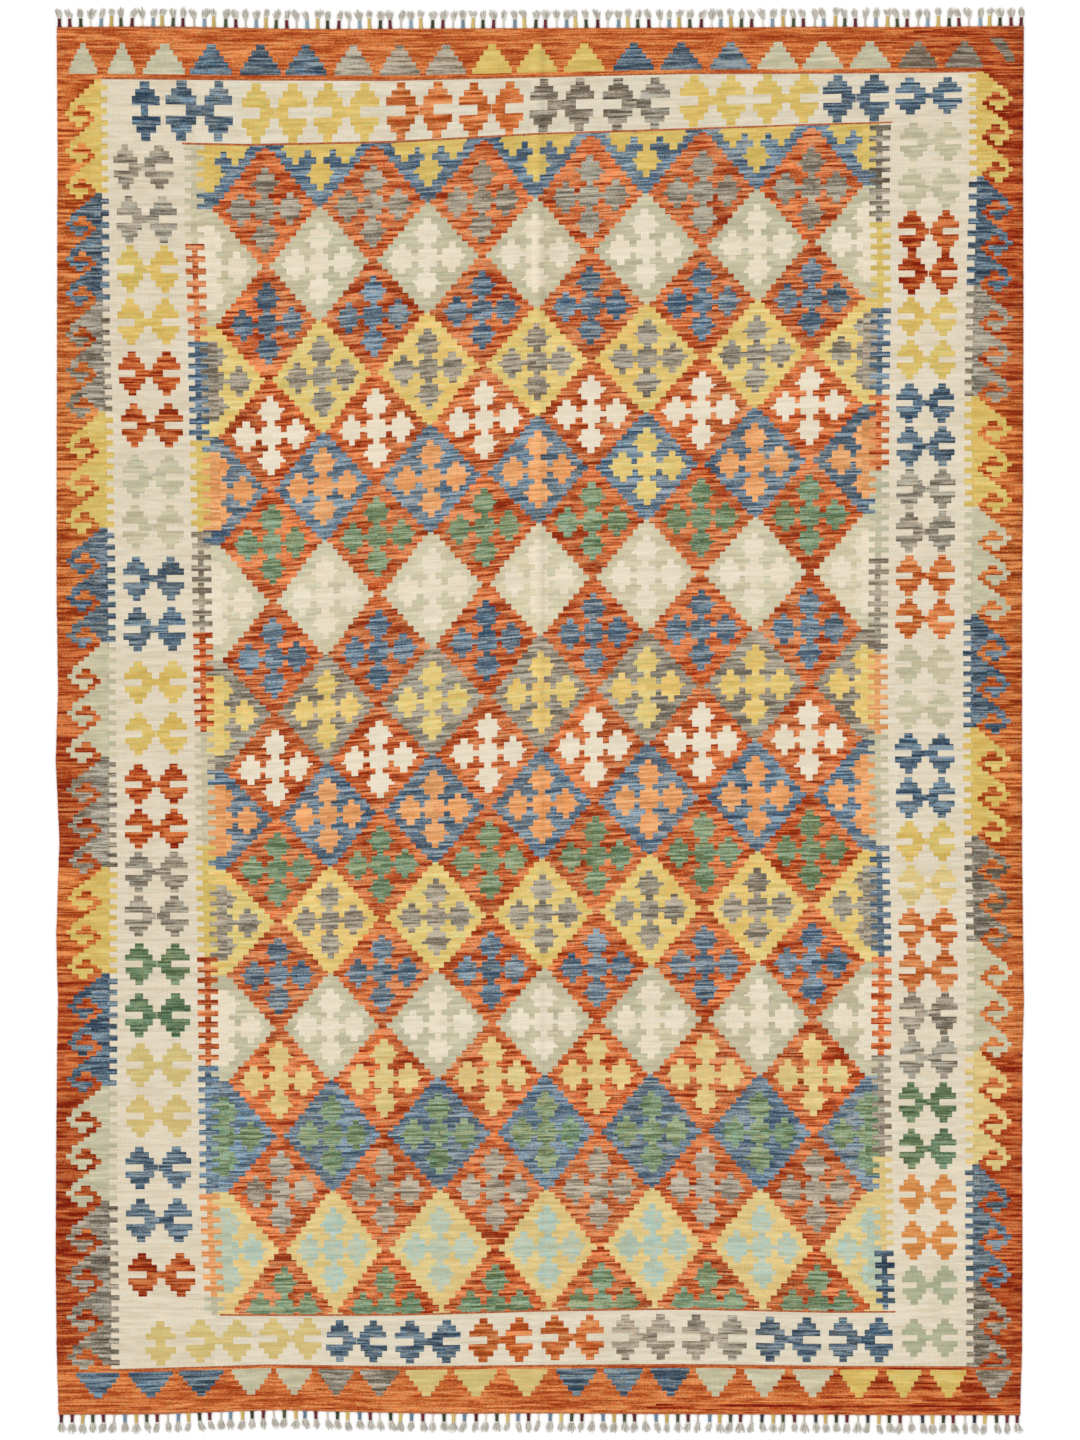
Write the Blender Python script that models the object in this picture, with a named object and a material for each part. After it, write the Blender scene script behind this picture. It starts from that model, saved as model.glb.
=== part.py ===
"""Flat-woven kilim rug, lying flat, with a row of knotted warp tassels along each end.

Metres, +Z up. The rug lies on z = 0, its length runs along Y and its first woven end is at +Y.
The cloth is one uneven sheet. Each fringe is a narrow strip of bound warp ends that carries its
tassels, and it lies just clear of the woven end that it finishes.
"""

import math
import random

import bmesh
import bpy
import numpy as np

# Driving dimensions
BODY_WIDTH = 2.05
BODY_LENGTH = 2.947
CLOTH_THICKNESS = 0.0035
FRINGE_LENGTH = 0.042

# Mesh spacing of the cloth
COLUMN_SPACING = 0.060
ROW_SPACING = 0.062

# The selvedges: a rounded outer thread, and how far each edge wanders inwards from a straight line
SELVEDGE_ROUNDING = 0.004
SELVEDGE_EDGE_HEIGHT = 0.0024
# Columns: distance from the first end (m), left edge inwards (mm), right edge inwards (mm)
SELVEDGE_DRIFT = (
    (0.00, -3, -4),
    (0.26, -1, -2),
    (0.58, -2, -3),
    (1.00, -3, -2),
    (1.22, -3, 0),
    (1.41, 0, 0),
    (1.56, -5, 0),
    (1.73, 3, 0),
    (1.94, -4, -2),
    (2.07, 0, -4),
    (2.18, -2, -1),
    (2.39, -4, 0),
    (2.62, -5, -1),
    (2.81, -3, 0),
    (2.947, 1, 4),
)
# Columns: distance from the left edge (m), first end inwards (mm), last end inwards (mm)
END_DRIFT = (
    (0.00, -1, -5),
    (0.22, -3, -4),
    (0.37, 0, 2),
    (0.47, 2, 5),
    (0.58, 3, 2),
    (0.80, 2, -3),
    (1.02, 1, -2),
    (1.36, 0, -4),
    (1.64, -2, -5),
    (1.79, -1, -6),
    (2.05, -4, -6),
)

# Twined weft lines, raised a little over the plain weave on each side of the two cross borders
LINE_STATIONS = (-0.9, -0.6, -0.3, 0.0, 0.3, 0.6, 0.9)
LINE_RISE = 0.0008
LINE_HALF_WIDTH = 0.004
LINE_END_FADE = 0.03
# Columns: first x and last x of the line (m), then its distance from the middle at each station (m)
TWINED_LINES = (
    (-0.93, 0.91, (1.365, 1.362, 1.361, 1.368, 1.375, 1.379, 1.382)),
    (-0.76, 0.75, (1.229, 1.224, 1.228, 1.245, 1.256, 1.265, 1.274)),
    (-0.68, 0.75, (-1.263, -1.263, -1.265, -1.255, -1.249, -1.255, -1.257)),
    (-0.93, 0.92, (-1.384, -1.375, -1.379, -1.378, -1.375, -1.378, -1.380)),
)

# The rug was folded along its length: a soft ridge stays down the middle and dies out at the ends
CREASE_LIFT = 0.0022
CREASE_HALF_WIDTH = 0.045
CREASE_END_FADE = 0.25
CREASE_COLUMNS = (-0.045, -0.025, -0.010, 0.0, 0.010, 0.025, 0.045)
CREASE_COLUMN_MARGIN = 0.020

# Slight unevenness of the woven face
COCKLE_HEIGHT = 0.0004
COCKLE_WIDTH = 0.41
COCKLE_LENGTH = 0.57
COCKLE_SKEW = 1.7
COCKLE_DRIFT = 0.9

# The fringes: a strip of bound warp ends, and the tassels that leave it
FIRST_END_TASSELS = 94
LAST_END_TASSELS = 91
STRIP_GAP = 0.0003
STRIP_WIDTH = 0.003
STRIP_HEIGHT = 0.0033
STRIP_MARGIN = 0.006
NECK_LENGTH = 0.019
NECK_WIDTH = 0.0056
NECK_HEIGHT = 0.0036
BARE_NECK_WIDTH = 0.0032
KNOT_LENGTH = 0.003
KNOT_WIDTH = 0.0078
KNOT_HEIGHT = 0.0048
HEAD_WIDTH = 0.0155
HEAD_HEIGHT = 0.0026
TASSEL_JITTER = 0.0016
TASSEL_LEAN = 0.0022
TASSEL_LENGTH_SPREAD = 0.003
# Every fifth tassel keeps its bare, thinner warp ends
BARE_TASSEL_PERIOD = 5
FIRST_END_BARE_OFFSET = 3
LAST_END_BARE_OFFSET = 0

MM = 0.001
# A face whose normal has at least this share along an axis counts as facing that way
FACES_OUTWARDS = 0.9
HALF_WIDTH = BODY_WIDTH / 2
HALF_LENGTH = BODY_LENGTH / 2
# The strip is the last few millimetres of the woven length
CLOTH_HALF_LENGTH = HALF_LENGTH - STRIP_WIDTH - STRIP_GAP


def clear_scene():
    """Remove the objects that the file opens with."""
    for obj in list(bpy.data.objects):
        bpy.data.objects.remove(obj, do_unlink=True)


def make_material(name, color, roughness):
    """A plain cloth material with the colour of the real yarn, given as linear RGB."""
    material = bpy.data.materials.new(name)
    material.use_nodes = True
    shader = material.node_tree.nodes["Principled BSDF"]
    shader.inputs["Base Color"].default_value = (*color, 1.0)
    shader.inputs["Roughness"].default_value = roughness
    shader.inputs["Metallic"].default_value = 0.0
    material.diffuse_color = (*color, 1.0)
    return material


def add_object(name, bm, material, collection):
    """Turn a bmesh into a named object of the rug's collection."""
    bmesh.ops.recalc_face_normals(bm, faces=bm.faces[:])
    mesh = bpy.data.meshes.new(name)
    bm.to_mesh(mesh)
    bm.free()
    mesh.materials.append(material)
    obj = bpy.data.objects.new(name, mesh)
    collection.objects.link(obj)
    return obj


def selvedge_x(y, side):
    """Where the left (-1) or right (+1) edge of the cloth runs at a given y."""
    distances, left, right = (np.array(column) for column in zip(*SELVEDGE_DRIFT))
    drift = left if side < 0 else right
    inwards = np.interp(HALF_LENGTH - y, distances, drift) * MM
    return side * (HALF_WIDTH - inwards)


def end_y(x, side):
    """Where the first (+1) or last (-1) end of the cloth runs at a given x."""
    distances, first, last = (np.array(column) for column in zip(*END_DRIFT))
    drift = first if side > 0 else last
    inwards = np.interp(x + HALF_WIDTH, distances, drift) * MM
    return side * (CLOTH_HALF_LENGTH - inwards)


def line_y(x, line):
    """Where a twined line runs at a given x."""
    return float(np.interp(x, LINE_STATIONS, line[2]))


def column_positions():
    """Nominal x of the cloth's mesh columns: even, closer at the crease and at both edges."""
    count = round(BODY_WIDTH / COLUMN_SPACING)
    even = [HALF_WIDTH * (2 * i / count - 1) for i in range(1, count)]
    clear = [x for x in even if abs(x) > CREASE_HALF_WIDTH + CREASE_COLUMN_MARGIN]
    edge = HALF_WIDTH - SELVEDGE_ROUNDING
    return sorted([-HALF_WIDTH, -edge, *clear, *CREASE_COLUMNS, edge, HALF_WIDTH])


def row_sections():
    """The curves that the cloth's rows follow, from the last end to the first.

    Each is a pair: a function of x that gives y, and the rise of the face along it.
    """
    sections = [(lambda x: end_y(x, -1), None)]
    for line in sorted(TWINED_LINES, key=lambda item: item[2][0]):
        for offset in (-LINE_HALF_WIDTH, 0.0, LINE_HALF_WIDTH):
            ribbed = line if offset == 0.0 else None
            sections.append((lambda x, at=line, by=offset: line_y(x, at) + by, ribbed))
    sections.append((lambda x: end_y(x, 1), None))
    return sections


def row_curves():
    """Every row of the cloth's mesh: the sections, and even rows blended between them."""
    rows = []
    sections = row_sections()
    for (lower, lower_rib), (upper, _) in zip(sections, sections[1:]):
        count = max(1, round((upper(0.0) - lower(0.0)) / ROW_SPACING))
        for step in range(count):
            share = step / count
            rib = lower_rib if step == 0 else None
            rows.append((lambda x, a=lower, b=upper, t=share: a(x) * (1 - t) + b(x) * t, rib))
    rows.append(sections[-1])
    return rows


def fade(distance, length):
    """A smooth step from 0 at the start to 1 at the given length."""
    share = min(max(distance / length, 0.0), 1.0)
    return share * share * (3 - 2 * share)


def crease_lift(x, y):
    """How far the old lengthwise fold lifts the cloth off the floor."""
    if abs(x) >= CREASE_HALF_WIDTH:
        return 0.0
    across = math.cos(math.pi * x / (2 * CREASE_HALF_WIDTH)) ** 2
    return CREASE_LIFT * across * fade(CLOTH_HALF_LENGTH - abs(y), CREASE_END_FADE)


def cockle(x, y):
    """The weave's slow unevenness on the upper face."""
    skew = COCKLE_SKEW * math.sin(math.tau * y / COCKLE_LENGTH)
    across = math.sin(math.tau * x / COCKLE_WIDTH + skew)
    along = math.cos(math.tau * y / COCKLE_LENGTH + COCKLE_DRIFT * x)
    return COCKLE_HEIGHT * across * along


def rib_rise(x, line):
    """How far a twined line stands over the face at a given x."""
    if line is None:
        return 0.0
    inside = min(x - line[0], line[1] - x)
    return LINE_RISE * fade(inside, LINE_END_FADE)


def build_cloth(material, collection):
    """The woven sheet: a grid laid along the wefts and selvedges, with a flat underside."""
    columns = column_positions()
    rows = row_curves()
    bm = bmesh.new()
    bmesh.ops.create_grid(bm, x_segments=len(columns) - 1, y_segments=len(rows) - 1, size=1.0)
    for vert in bm.verts:
        column = round((vert.co.x + 1) / 2 * (len(columns) - 1))
        nominal = columns[column]
        curve, rib = rows[round((vert.co.y + 1) / 2 * (len(rows) - 1))]
        y = curve(nominal)
        middle = (selvedge_x(y, 1) + selvedge_x(y, -1)) / 2
        stretch = (selvedge_x(y, 1) - selvedge_x(y, -1)) / BODY_WIDTH
        at_edge = column in (0, len(columns) - 1)
        height = SELVEDGE_EDGE_HEIGHT if at_edge else CLOTH_THICKNESS + cockle(nominal, y)
        vert.co = (
            middle + nominal * stretch,
            y,
            height + crease_lift(nominal, y) + rib_rise(nominal, rib),
        )
    result = bmesh.ops.extrude_face_region(bm, geom=bm.faces[:], use_keep_orig=True)
    lower = [item for item in result["geom"] if isinstance(item, bmesh.types.BMVert)]
    for vert in lower:
        vert.co.z = crease_lift(vert.co.x, vert.co.y)
    return add_object("kilim_cloth", bm, material, collection)


def tassel_places(count, left, right, rng):
    """The x of each tassel's root: evenly spaced along the strip with a little unevenness."""
    first = left + STRIP_MARGIN
    step = (right - left - 2 * STRIP_MARGIN) / (count - 1)
    places = [first + i * step + rng.uniform(-TASSEL_JITTER, TASSEL_JITTER) for i in range(count)]
    places[0] = first
    places[-1] = right - STRIP_MARGIN
    return places


def neck_widths(count, bare_offset):
    """The width of each tassel's neck: wrapped in yarn, or bare at a fixed period."""
    widths = []
    for i in range(count):
        inner = 1 < i < count - 2
        bare = inner and (i - bare_offset) % BARE_TASSEL_PERIOD == 0
        widths.append(BARE_NECK_WIDTH if bare else NECK_WIDTH)
    return widths


def make_strip(cuts, woven_end, side):
    """A closed strip along the woven end, cut across at each given x; its outer faces by x."""
    bm = bmesh.new()
    bmesh.ops.create_grid(bm, x_segments=len(cuts) - 1, y_segments=1, size=1.0)
    for vert in bm.verts:
        x = cuts[round((vert.co.x + 1) / 2 * (len(cuts) - 1))]
        reach = STRIP_GAP + (STRIP_WIDTH if vert.co.y > 0 else 0.0)
        vert.co = (x, woven_end(x) + side * reach, STRIP_HEIGHT)
    result = bmesh.ops.extrude_face_region(bm, geom=bm.faces[:], use_keep_orig=True)
    for item in result["geom"]:
        if isinstance(item, bmesh.types.BMVert):
            item.co.z = 0.0
    bmesh.ops.recalc_face_normals(bm, faces=bm.faces[:])
    outer = [face for face in bm.faces if face.normal.y * side > FACES_OUTWARDS]
    outer.sort(key=lambda face: face.calc_center_median().x)
    return bm, outer


def grow_tassel(bm, root, place, start, side, width, rng):
    """Draw one tassel out of its root face: neck, knot and frayed head, each four-sided."""
    lean = rng.uniform(-TASSEL_LEAN, TASSEL_LEAN)
    length = FRINGE_LENGTH - rng.uniform(0.0, TASSEL_LENGTH_SPREAD)
    rings = (
        (NECK_LENGTH, width, NECK_HEIGHT),
        (NECK_LENGTH + KNOT_LENGTH, KNOT_WIDTH, KNOT_HEIGHT),
        (length, HEAD_WIDTH, HEAD_HEIGHT),
    )
    face = root
    for reach, ring_width, ring_height in rings:
        face = bmesh.ops.extrude_discrete_faces(bm, faces=[face])["faces"][0]
        middle = face.calc_center_median()
        center_x = place + lean * reach / FRINGE_LENGTH
        for vert in face.verts:
            edge = 1 if vert.co.x > middle.x else -1
            height = ring_height if vert.co.z > middle.z else 0.0
            vert.co = (center_x + edge * ring_width / 2, start + side * reach, height)


def build_fringe(name, side, count, bare_offset, seed, material, collection):
    """One end's strip of bound warp ends with its row of tassels."""
    rng = random.Random(seed)
    columns = column_positions()
    edge_y = [end_y(x, side) for x in columns]

    def woven_end(x):
        return float(np.interp(x, columns, edge_y))

    left = selvedge_x(side * HALF_LENGTH, -1)
    right = selvedge_x(side * HALF_LENGTH, 1)
    places = tassel_places(count, left, right, rng)
    widths = neck_widths(count, bare_offset)
    cuts = [left]
    for place, width in zip(places, widths):
        cuts += [place - width / 2, place + width / 2]
    cuts.append(right)
    bm, outer = make_strip(cuts, woven_end, side)
    for root, place, width in zip(outer[1::2], places, widths):
        start = woven_end(place) + side * (STRIP_GAP + STRIP_WIDTH)
        grow_tassel(bm, root, place, start, side, width, rng)
    return add_object(name, bm, material, collection)


def build_kilim():
    """The whole rug: the cloth and the two fringes."""
    clear_scene()
    collection = bpy.data.collections.new("kilim_rug")
    bpy.context.scene.collection.children.link(collection)
    wool = make_material("dyed_wool_weave", (0.58, 0.22, 0.09), 0.92)
    cotton = make_material("cotton_warp_fringe", (0.62, 0.57, 0.49), 0.95)
    build_cloth(wool, collection)
    build_fringe("fringe_first_end", 1, FIRST_END_TASSELS, FIRST_END_BARE_OFFSET, 11, cotton, collection)
    build_fringe("fringe_last_end", -1, LAST_END_TASSELS, LAST_END_BARE_OFFSET, 12, cotton, collection)


build_kilim()
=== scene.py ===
"""Kilim rug: dyed wool woven tight over a cotton warp, with knotted tassels along both ends.

The pattern is worked the way a weaver charts it. Every motif is a stack of weft steps in places
counted along the warp and the weft, and the finished chart is laid on the uneven cloth by one map
of how its wefts and warps wander. Metres, +Z up, the first woven end at +Y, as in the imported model.
"""

import logging
import math
import random
from collections.abc import Sequence
from dataclasses import dataclass, field
from enum import Enum

import bpy
import numpy as np
from bpy.types import Camera, Light, Material, Mesh, Node, NodeSocket, NodeTree, Object
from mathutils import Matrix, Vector
from mathutils.geometry import delaunay_2d_cdt


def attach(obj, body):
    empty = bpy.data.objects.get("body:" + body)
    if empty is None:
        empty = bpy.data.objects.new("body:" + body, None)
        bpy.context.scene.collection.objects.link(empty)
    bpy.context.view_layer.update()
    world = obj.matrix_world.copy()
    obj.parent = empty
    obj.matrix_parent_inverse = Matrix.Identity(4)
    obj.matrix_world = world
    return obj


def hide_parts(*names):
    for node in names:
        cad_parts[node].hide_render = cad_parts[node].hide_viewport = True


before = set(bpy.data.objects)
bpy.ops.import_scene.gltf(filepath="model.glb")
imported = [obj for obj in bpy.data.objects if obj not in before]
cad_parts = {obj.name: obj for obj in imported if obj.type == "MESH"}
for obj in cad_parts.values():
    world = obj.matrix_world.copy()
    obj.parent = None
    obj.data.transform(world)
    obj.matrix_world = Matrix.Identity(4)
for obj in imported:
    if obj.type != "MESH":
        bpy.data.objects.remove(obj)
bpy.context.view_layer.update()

LOG = logging.getLogger("kilim")

CM = 0.01
MM = 0.001

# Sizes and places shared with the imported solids, repeated here because their source can't be read
BODY_WIDTH = 2.05
BODY_LENGTH = 2.947
CLOTH_THICKNESS = 0.0035
FRINGE_LENGTH = 0.042
HALF_WIDTH = BODY_WIDTH / 2
HALF_LENGTH = BODY_LENGTH / 2
STRIP_GAP = 0.0003
STRIP_WIDTH = 0.003
CLOTH_HALF_LENGTH = HALF_LENGTH - STRIP_WIDTH - STRIP_GAP
# Distance from the first end (m), left edge inwards (mm), right edge inwards (mm)
SELVEDGE_DRIFT = (
    (0.00, -3, -4), (0.26, -1, -2), (0.58, -2, -3), (1.00, -3, -2), (1.22, -3, 0),
    (1.41, 0, 0), (1.56, -5, 0), (1.73, 3, 0), (1.94, -4, -2), (2.07, 0, -4),
    (2.18, -2, -1), (2.39, -4, 0), (2.62, -5, -1), (2.81, -3, 0), (2.947, 1, 4),
)
# Distance from the left edge (m), first end inwards (mm), last end inwards (mm)
END_DRIFT = (
    (0.00, -1, -5), (0.22, -3, -4), (0.37, 0, 2), (0.47, 2, 5), (0.58, 3, 2),
    (0.80, 2, -3), (1.02, 1, -2), (1.36, 0, -4), (1.64, -2, -5), (1.79, -1, -6),
    (2.05, -4, -6),
)
# Where the pattern's seams lie on the chart: the field, the cream border and the twined lines
FIELD_LEFT, FIELD_RIGHT = -0.715, 0.722
FIELD_BOTTOM, FIELD_TOP = -1.255, 1.245
CREAM_LEFT, CREAM_RIGHT = -0.920, 0.920
LAST_LINE, FIRST_LINE = -1.378, 1.368

CREASE_LIFT = 0.0022
CREASE_HALF_WIDTH = 0.045
CREASE_END_FADE = 0.25
COCKLE_HEIGHT = 0.0004
COCKLE_WIDTH = 0.41
COCKLE_LENGTH = 0.57
COCKLE_SKEW = 1.7
COCKLE_DRIFT = 0.9

# Height of a streak in a finely spun weft, and in one whose dye took evenly
FINE = 2.1 * MM
EVEN = 3.6 * MM

# Steps without a common measure, so that dye lots, rows, threads and layers of noise don't repeat.
# Rows of noise that lie a row's step apart have nothing in common, so a streak has a crisp edge
LOT_STEP = 0.731
CAST_STEP = 0.377
THREAD_STEP = 0.618
SHADE_STEP = 0.617
ROW_STEP = 7.31
LAYER_STEP = 11.3
# How many shades a plied yarn is numbered in
SHADES = 90.0

Array = np.ndarray
Place = tuple[float, float]
Point = tuple[float, float, float]
Step = tuple[float, float, float, float]


def linear(shade: str) -> tuple[float, float, float, float]:
    """Turn an sRGB hex shade into Blender's linear colour.

    Args:
        shade: the shade as "#RRGGBB".

    Returns:
        Linear red, green and blue, with full alpha.
    """
    parts = [int(shade[i : i + 2], 16) / 255 for i in (1, 3, 5)]
    light = [c / 12.92 if c <= 0.04045 else ((c + 0.055) / 1.055) ** 2.4 for c in parts]
    return (light[0], light[1], light[2], 1.0)


def add_node(
    tree: NodeTree, kind: str, inputs: dict[str | int, object], **settings: object
) -> Node:
    """Add one node with its settings, socket values and links.

    Args:
        tree: the node tree that the node joins.
        kind: the node's type, as Blender names it after "ShaderNode".
        inputs: a value or another node's output for each input socket, by name or number.
        settings: the node's own properties.

    Returns:
        The new node.
    """
    node = tree.nodes.new("ShaderNode" + kind)
    for name, value in settings.items():
        setattr(node, name, value)
    for key, value in inputs.items():
        if isinstance(value, NodeSocket):
            tree.links.new(value, node.inputs[key])
        else:
            node.inputs[key].default_value = value
    return node


def sums(tree: NodeTree, start: object, *steps: tuple[str, object]) -> NodeSocket:
    """Work a value through several sums in a row.

    Args:
        tree: the node tree that the nodes join.
        start: the first value, a number or an output.
        steps: for each sum its operation and its second value, or None where it takes one value.

    Returns:
        The last node's output.
    """
    value = start
    for operation, other in steps:
        inputs = {0: value} if other is None else {0: value, 1: other}
        value = add_node(tree, "Math", inputs, operation=operation).outputs[0]
    return value


def soft_surface(name: str, roughness: float, sheen: float) -> tuple[Material, Node]:
    """Start the material of a matt fibre surface.

    Args:
        name: the material's name.
        roughness: the fibre's roughness.
        sheen: the weight of the light that loose fibre ends scatter at grazing angles.

    Returns:
        The material and its Principled shader.
    """
    material = bpy.data.materials.new(name)
    material.use_nodes = True
    shader = material.node_tree.nodes["Principled BSDF"]
    shader.inputs["Roughness"].default_value = roughness
    shader.inputs["Metallic"].default_value = 0.0
    # Keratin and cellulose both refract at about 1.54, and the fibre mass has no clear surface
    shader.inputs["IOR"].default_value = 1.54
    shader.inputs["Specular IOR Level"].default_value = 0.08
    shader.inputs["Sheen Weight"].default_value = sheen
    shader.inputs["Sheen Roughness"].default_value = 0.6
    return material, shader


def placed(name: str, data: Mesh | Camera | Light) -> Object:
    """Put something into the scene.

    Args:
        name: the object's name.
        data: its mesh, camera or light.

    Returns:
        The object.
    """
    obj = bpy.data.objects.new(name, data)
    bpy.context.scene.collection.objects.link(obj)
    return obj


@dataclass(frozen=True)
class WovenSpot:
    """Where a spot of a yarn lies on the chart, as outputs of its material's nodes."""

    tree: NodeTree
    # Its charted place, how far the waves of the wefts lift it, and its v with that lift
    u: NodeSocket
    v: NodeSocket
    rise: NodeSocket
    beaten: NodeSocket
    # The number of its patch's dye lot
    lot: NodeSocket


@dataclass(frozen=True)
class DyedWool:
    """Handspun wool weft, vat-dyed and beaten down over the warp in a plain weft-faced weave.

    It looks matt and slightly heathered. Each dye lot runs along the wefts as a streak, and the
    wefts bead over the warp, so faint ribs run down the cloth, with painted shade in their grooves and a
    painted highlight on their tops.
    """

    name: str
    deep: str
    body: str
    pale: str
    streaks: float
    heather: float
    # How far the dye drifts between a warm and a cool cast
    cast: float
    # Height of one streak, which is two or three passes of weft
    row: float = 2.6 * MM
    # A pass of weft is 1.1 mm, and is drawn at twice that so that it shows
    weft_pass: float = 2.2 * MM
    # Warps stand in pairs 5.5 mm apart
    rib: float = 5.5 * MM
    # A streak rises and falls a little, because the wefts are beaten down unevenly
    wave_length: float = 150 * MM
    wave_height: float = 6 * MM
    # How far one thread of a row runs before the next takes over
    thread: float = 130 * MM
    roughness: float = 0.95
    sheen: float = 0.03
    # How deep the weave stands, and how much of it the beads take
    relief: float = 0.5 * MM
    bead: float = 0.6
    # Painted shade and highlight: how much darker the grooves between ribs are painted, and how far a
    # painted highlight on the ribs' tops makes up for it
    groove_painted_shade: float = 0.05
    crown_painted_highlight: float = 1.6
    # How much a whole lot's tone and a single line's tone may stray
    lot_share: float = 0.22
    line_share: float = 0.55
    # A spot of warm or cool cast is this long and tall, and strays this much more than a whole lot
    cast_length: float = 14 * MM
    cast_height: float = 5 * MM
    cast_near: float = 3.4
    cast_whole: float = 0.5
    # What a warm cast adds to red, green and blue
    warmth: tuple[float, float, float] = (0.30, -0.06, -0.34)
    # The rug was kept folded along its middle, and light falls across the crease: its left flank is painted
    # paler as painted highlight, and its right flank darker as painted shade. For each mark, its distance
    # from the rug's axis, half its width, and how far it changes the shade
    painted_crease_marks: tuple[tuple[float, float, float], ...] = (
        (-13 * MM, 10 * MM, 0.085), (6 * MM, 9 * MM, -0.15),
    )
    # How strong the fold's painted light and shade are at the middle of the rug, and what they gain each
    # metre up
    painted_crease_middle: float = 0.7
    painted_crease_rise: float = 0.28

    def material(self) -> Material:
        """Build the wool's material.

        Returns:
            The material, for one slot of the cloth.
        """
        material, shader = soft_surface(self.name, self.roughness, self.sheen)
        tree = material.node_tree
        chart = add_node(tree, "Attribute", {}, attribute_name="chart").outputs["Vector"]
        lot = add_node(tree, "Attribute", {}, attribute_name="lot").outputs["Fac"]
        axes = add_node(tree, "SeparateXYZ", {0: chart})
        u, v = axes.outputs[0], axes.outputs[1]
        noise = {"Vector": chart, "Scale": 1 / self.wave_length, "Detail": 1.0}
        waves = add_node(tree, "TexNoise", noise).outputs[0]
        rise = sums(tree, waves, ("SUBTRACT", 0.5), ("MULTIPLY", self.wave_height))
        beaten = sums(tree, v, ("ADD", rise))
        spot = WovenSpot(tree, u, v, rise, beaten, lot)
        tone = sums(tree, self._lines(spot), ("ADD", self._streaks(spot)))
        shades = add_node(tree, "ValToRGB", {0: tone})
        shades.color_ramp.elements[0].color = linear(self.deep)
        shades.color_ramp.elements[1].color = linear(self.pale)
        shades.color_ramp.elements.new(0.5).color = linear(self.body)
        tinted = self._cast(spot, shades.outputs[0])
        # Warps stand as ribs, and the passes of weft bead over every other one in turn
        ribs = sums(tree, u, ("DIVIDE", self.rib))
        parity = sums(tree, ribs, ("FLOOR", None), ("MULTIPLY", 0.5), ("FRACT", None))
        passes = sums(tree, beaten, ("DIVIDE", self.weft_pass), ("ADD", parity))
        rib_top = sums(tree, ribs, ("MULTIPLY", math.pi), ("SINE", None), ("ABSOLUTE", None))
        bead = sums(tree, passes, ("MULTIPLY", math.pi), ("SINE", None), ("ABSOLUTE", None))
        beads = sums(tree, bead, ("MULTIPLY", self.bead), ("ADD", 1 - self.bead))
        height = sums(tree, beads, ("MULTIPLY", rib_top))
        # Painted shade darkens the grooves between ribs and passes, and a painted highlight lightens their
        # tops
        painted_top_light = sums(tree, height, ("MULTIPLY", self.groove_painted_shade * self.crown_painted_highlight))
        # The fold's painted highlight and painted shade scale the colour, together with the weave's painted
        # shade
        painted_light_factor = sums(tree, painted_top_light, ("ADD", 1.0 - self.groove_painted_shade), ("MULTIPLY", self._painted_crease_light(tree)))
        shaded = add_node(tree, "VectorMath", {0: tinted, "Scale": painted_light_factor}, operation="SCALE")
        relief = {"Height": height, "Distance": self.relief, "Strength": 0.7}
        bump = add_node(tree, "Bump", relief)
        tree.links.new(shaded.outputs[0], shader.inputs["Base Color"])
        tree.links.new(bump.outputs[0], shader.inputs["Normal"])
        return material

    def _streaks(self, spot: WovenSpot) -> NodeSocket:
        """Let the dye run along the wefts in streaks of several lengths, which differ by lot.

        Args:
            spot: where on the chart.

        Returns:
            The tone, from 0 for the deepest shade to 1 for the palest one.
        """
        tree = spot.tree
        tone = sums(tree, spot.lot, ("MULTIPLY", LOT_STEP), ("FRACT", None), ("SUBTRACT", 0.5))
        tone = sums(tree, tone, ("MULTIPLY", self.lot_share * self.streaks), ("ADD", 0.5))
        # How many rows tall a streak is, how long it is, its share, the most that it may add, and
        # how far it follows the bend of the wefts
        layers = (
            (1.0, 45 * MM, 2.2 * self.streaks, 0.18 * self.streaks, 1.0),
            (1.9, 85 * MM, 3.8 * self.streaks, 0.30 * self.streaks, -0.7),
            (7.0, 260 * MM, 0.8 * self.streaks, 1.0, 1.0),
            (1.0, 3.4 * MM, 1.8 * self.heather, 1.0, 1.0),
        )
        for number, (rows_tall, length, share, most, bend) in enumerate(layers):
            bent = sums(tree, spot.rise, ("MULTIPLY", bend), ("ADD", spot.v))
            row = sums(tree, bent, ("DIVIDE", rows_tall * self.row), ("FLOOR", None))
            parts = {
                0: sums(tree, spot.u, ("DIVIDE", length)),
                1: sums(tree, row, ("MULTIPLY", ROW_STEP)),
                2: sums(tree, spot.lot, ("ADD", LAYER_STEP * number)),
            }
            place = add_node(tree, "CombineXYZ", parts)
            noise = {"Vector": place.outputs[0], "Scale": 1.0, "Detail": 1.0}
            swing = add_node(tree, "TexNoise", noise).outputs[0]
            swing = sums(tree, swing, ("SUBTRACT", 0.5), ("MULTIPLY", share), ("MINIMUM", most))
            tone = sums(tree, swing, ("MAXIMUM", -most), ("ADD", tone))
        return tone

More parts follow.
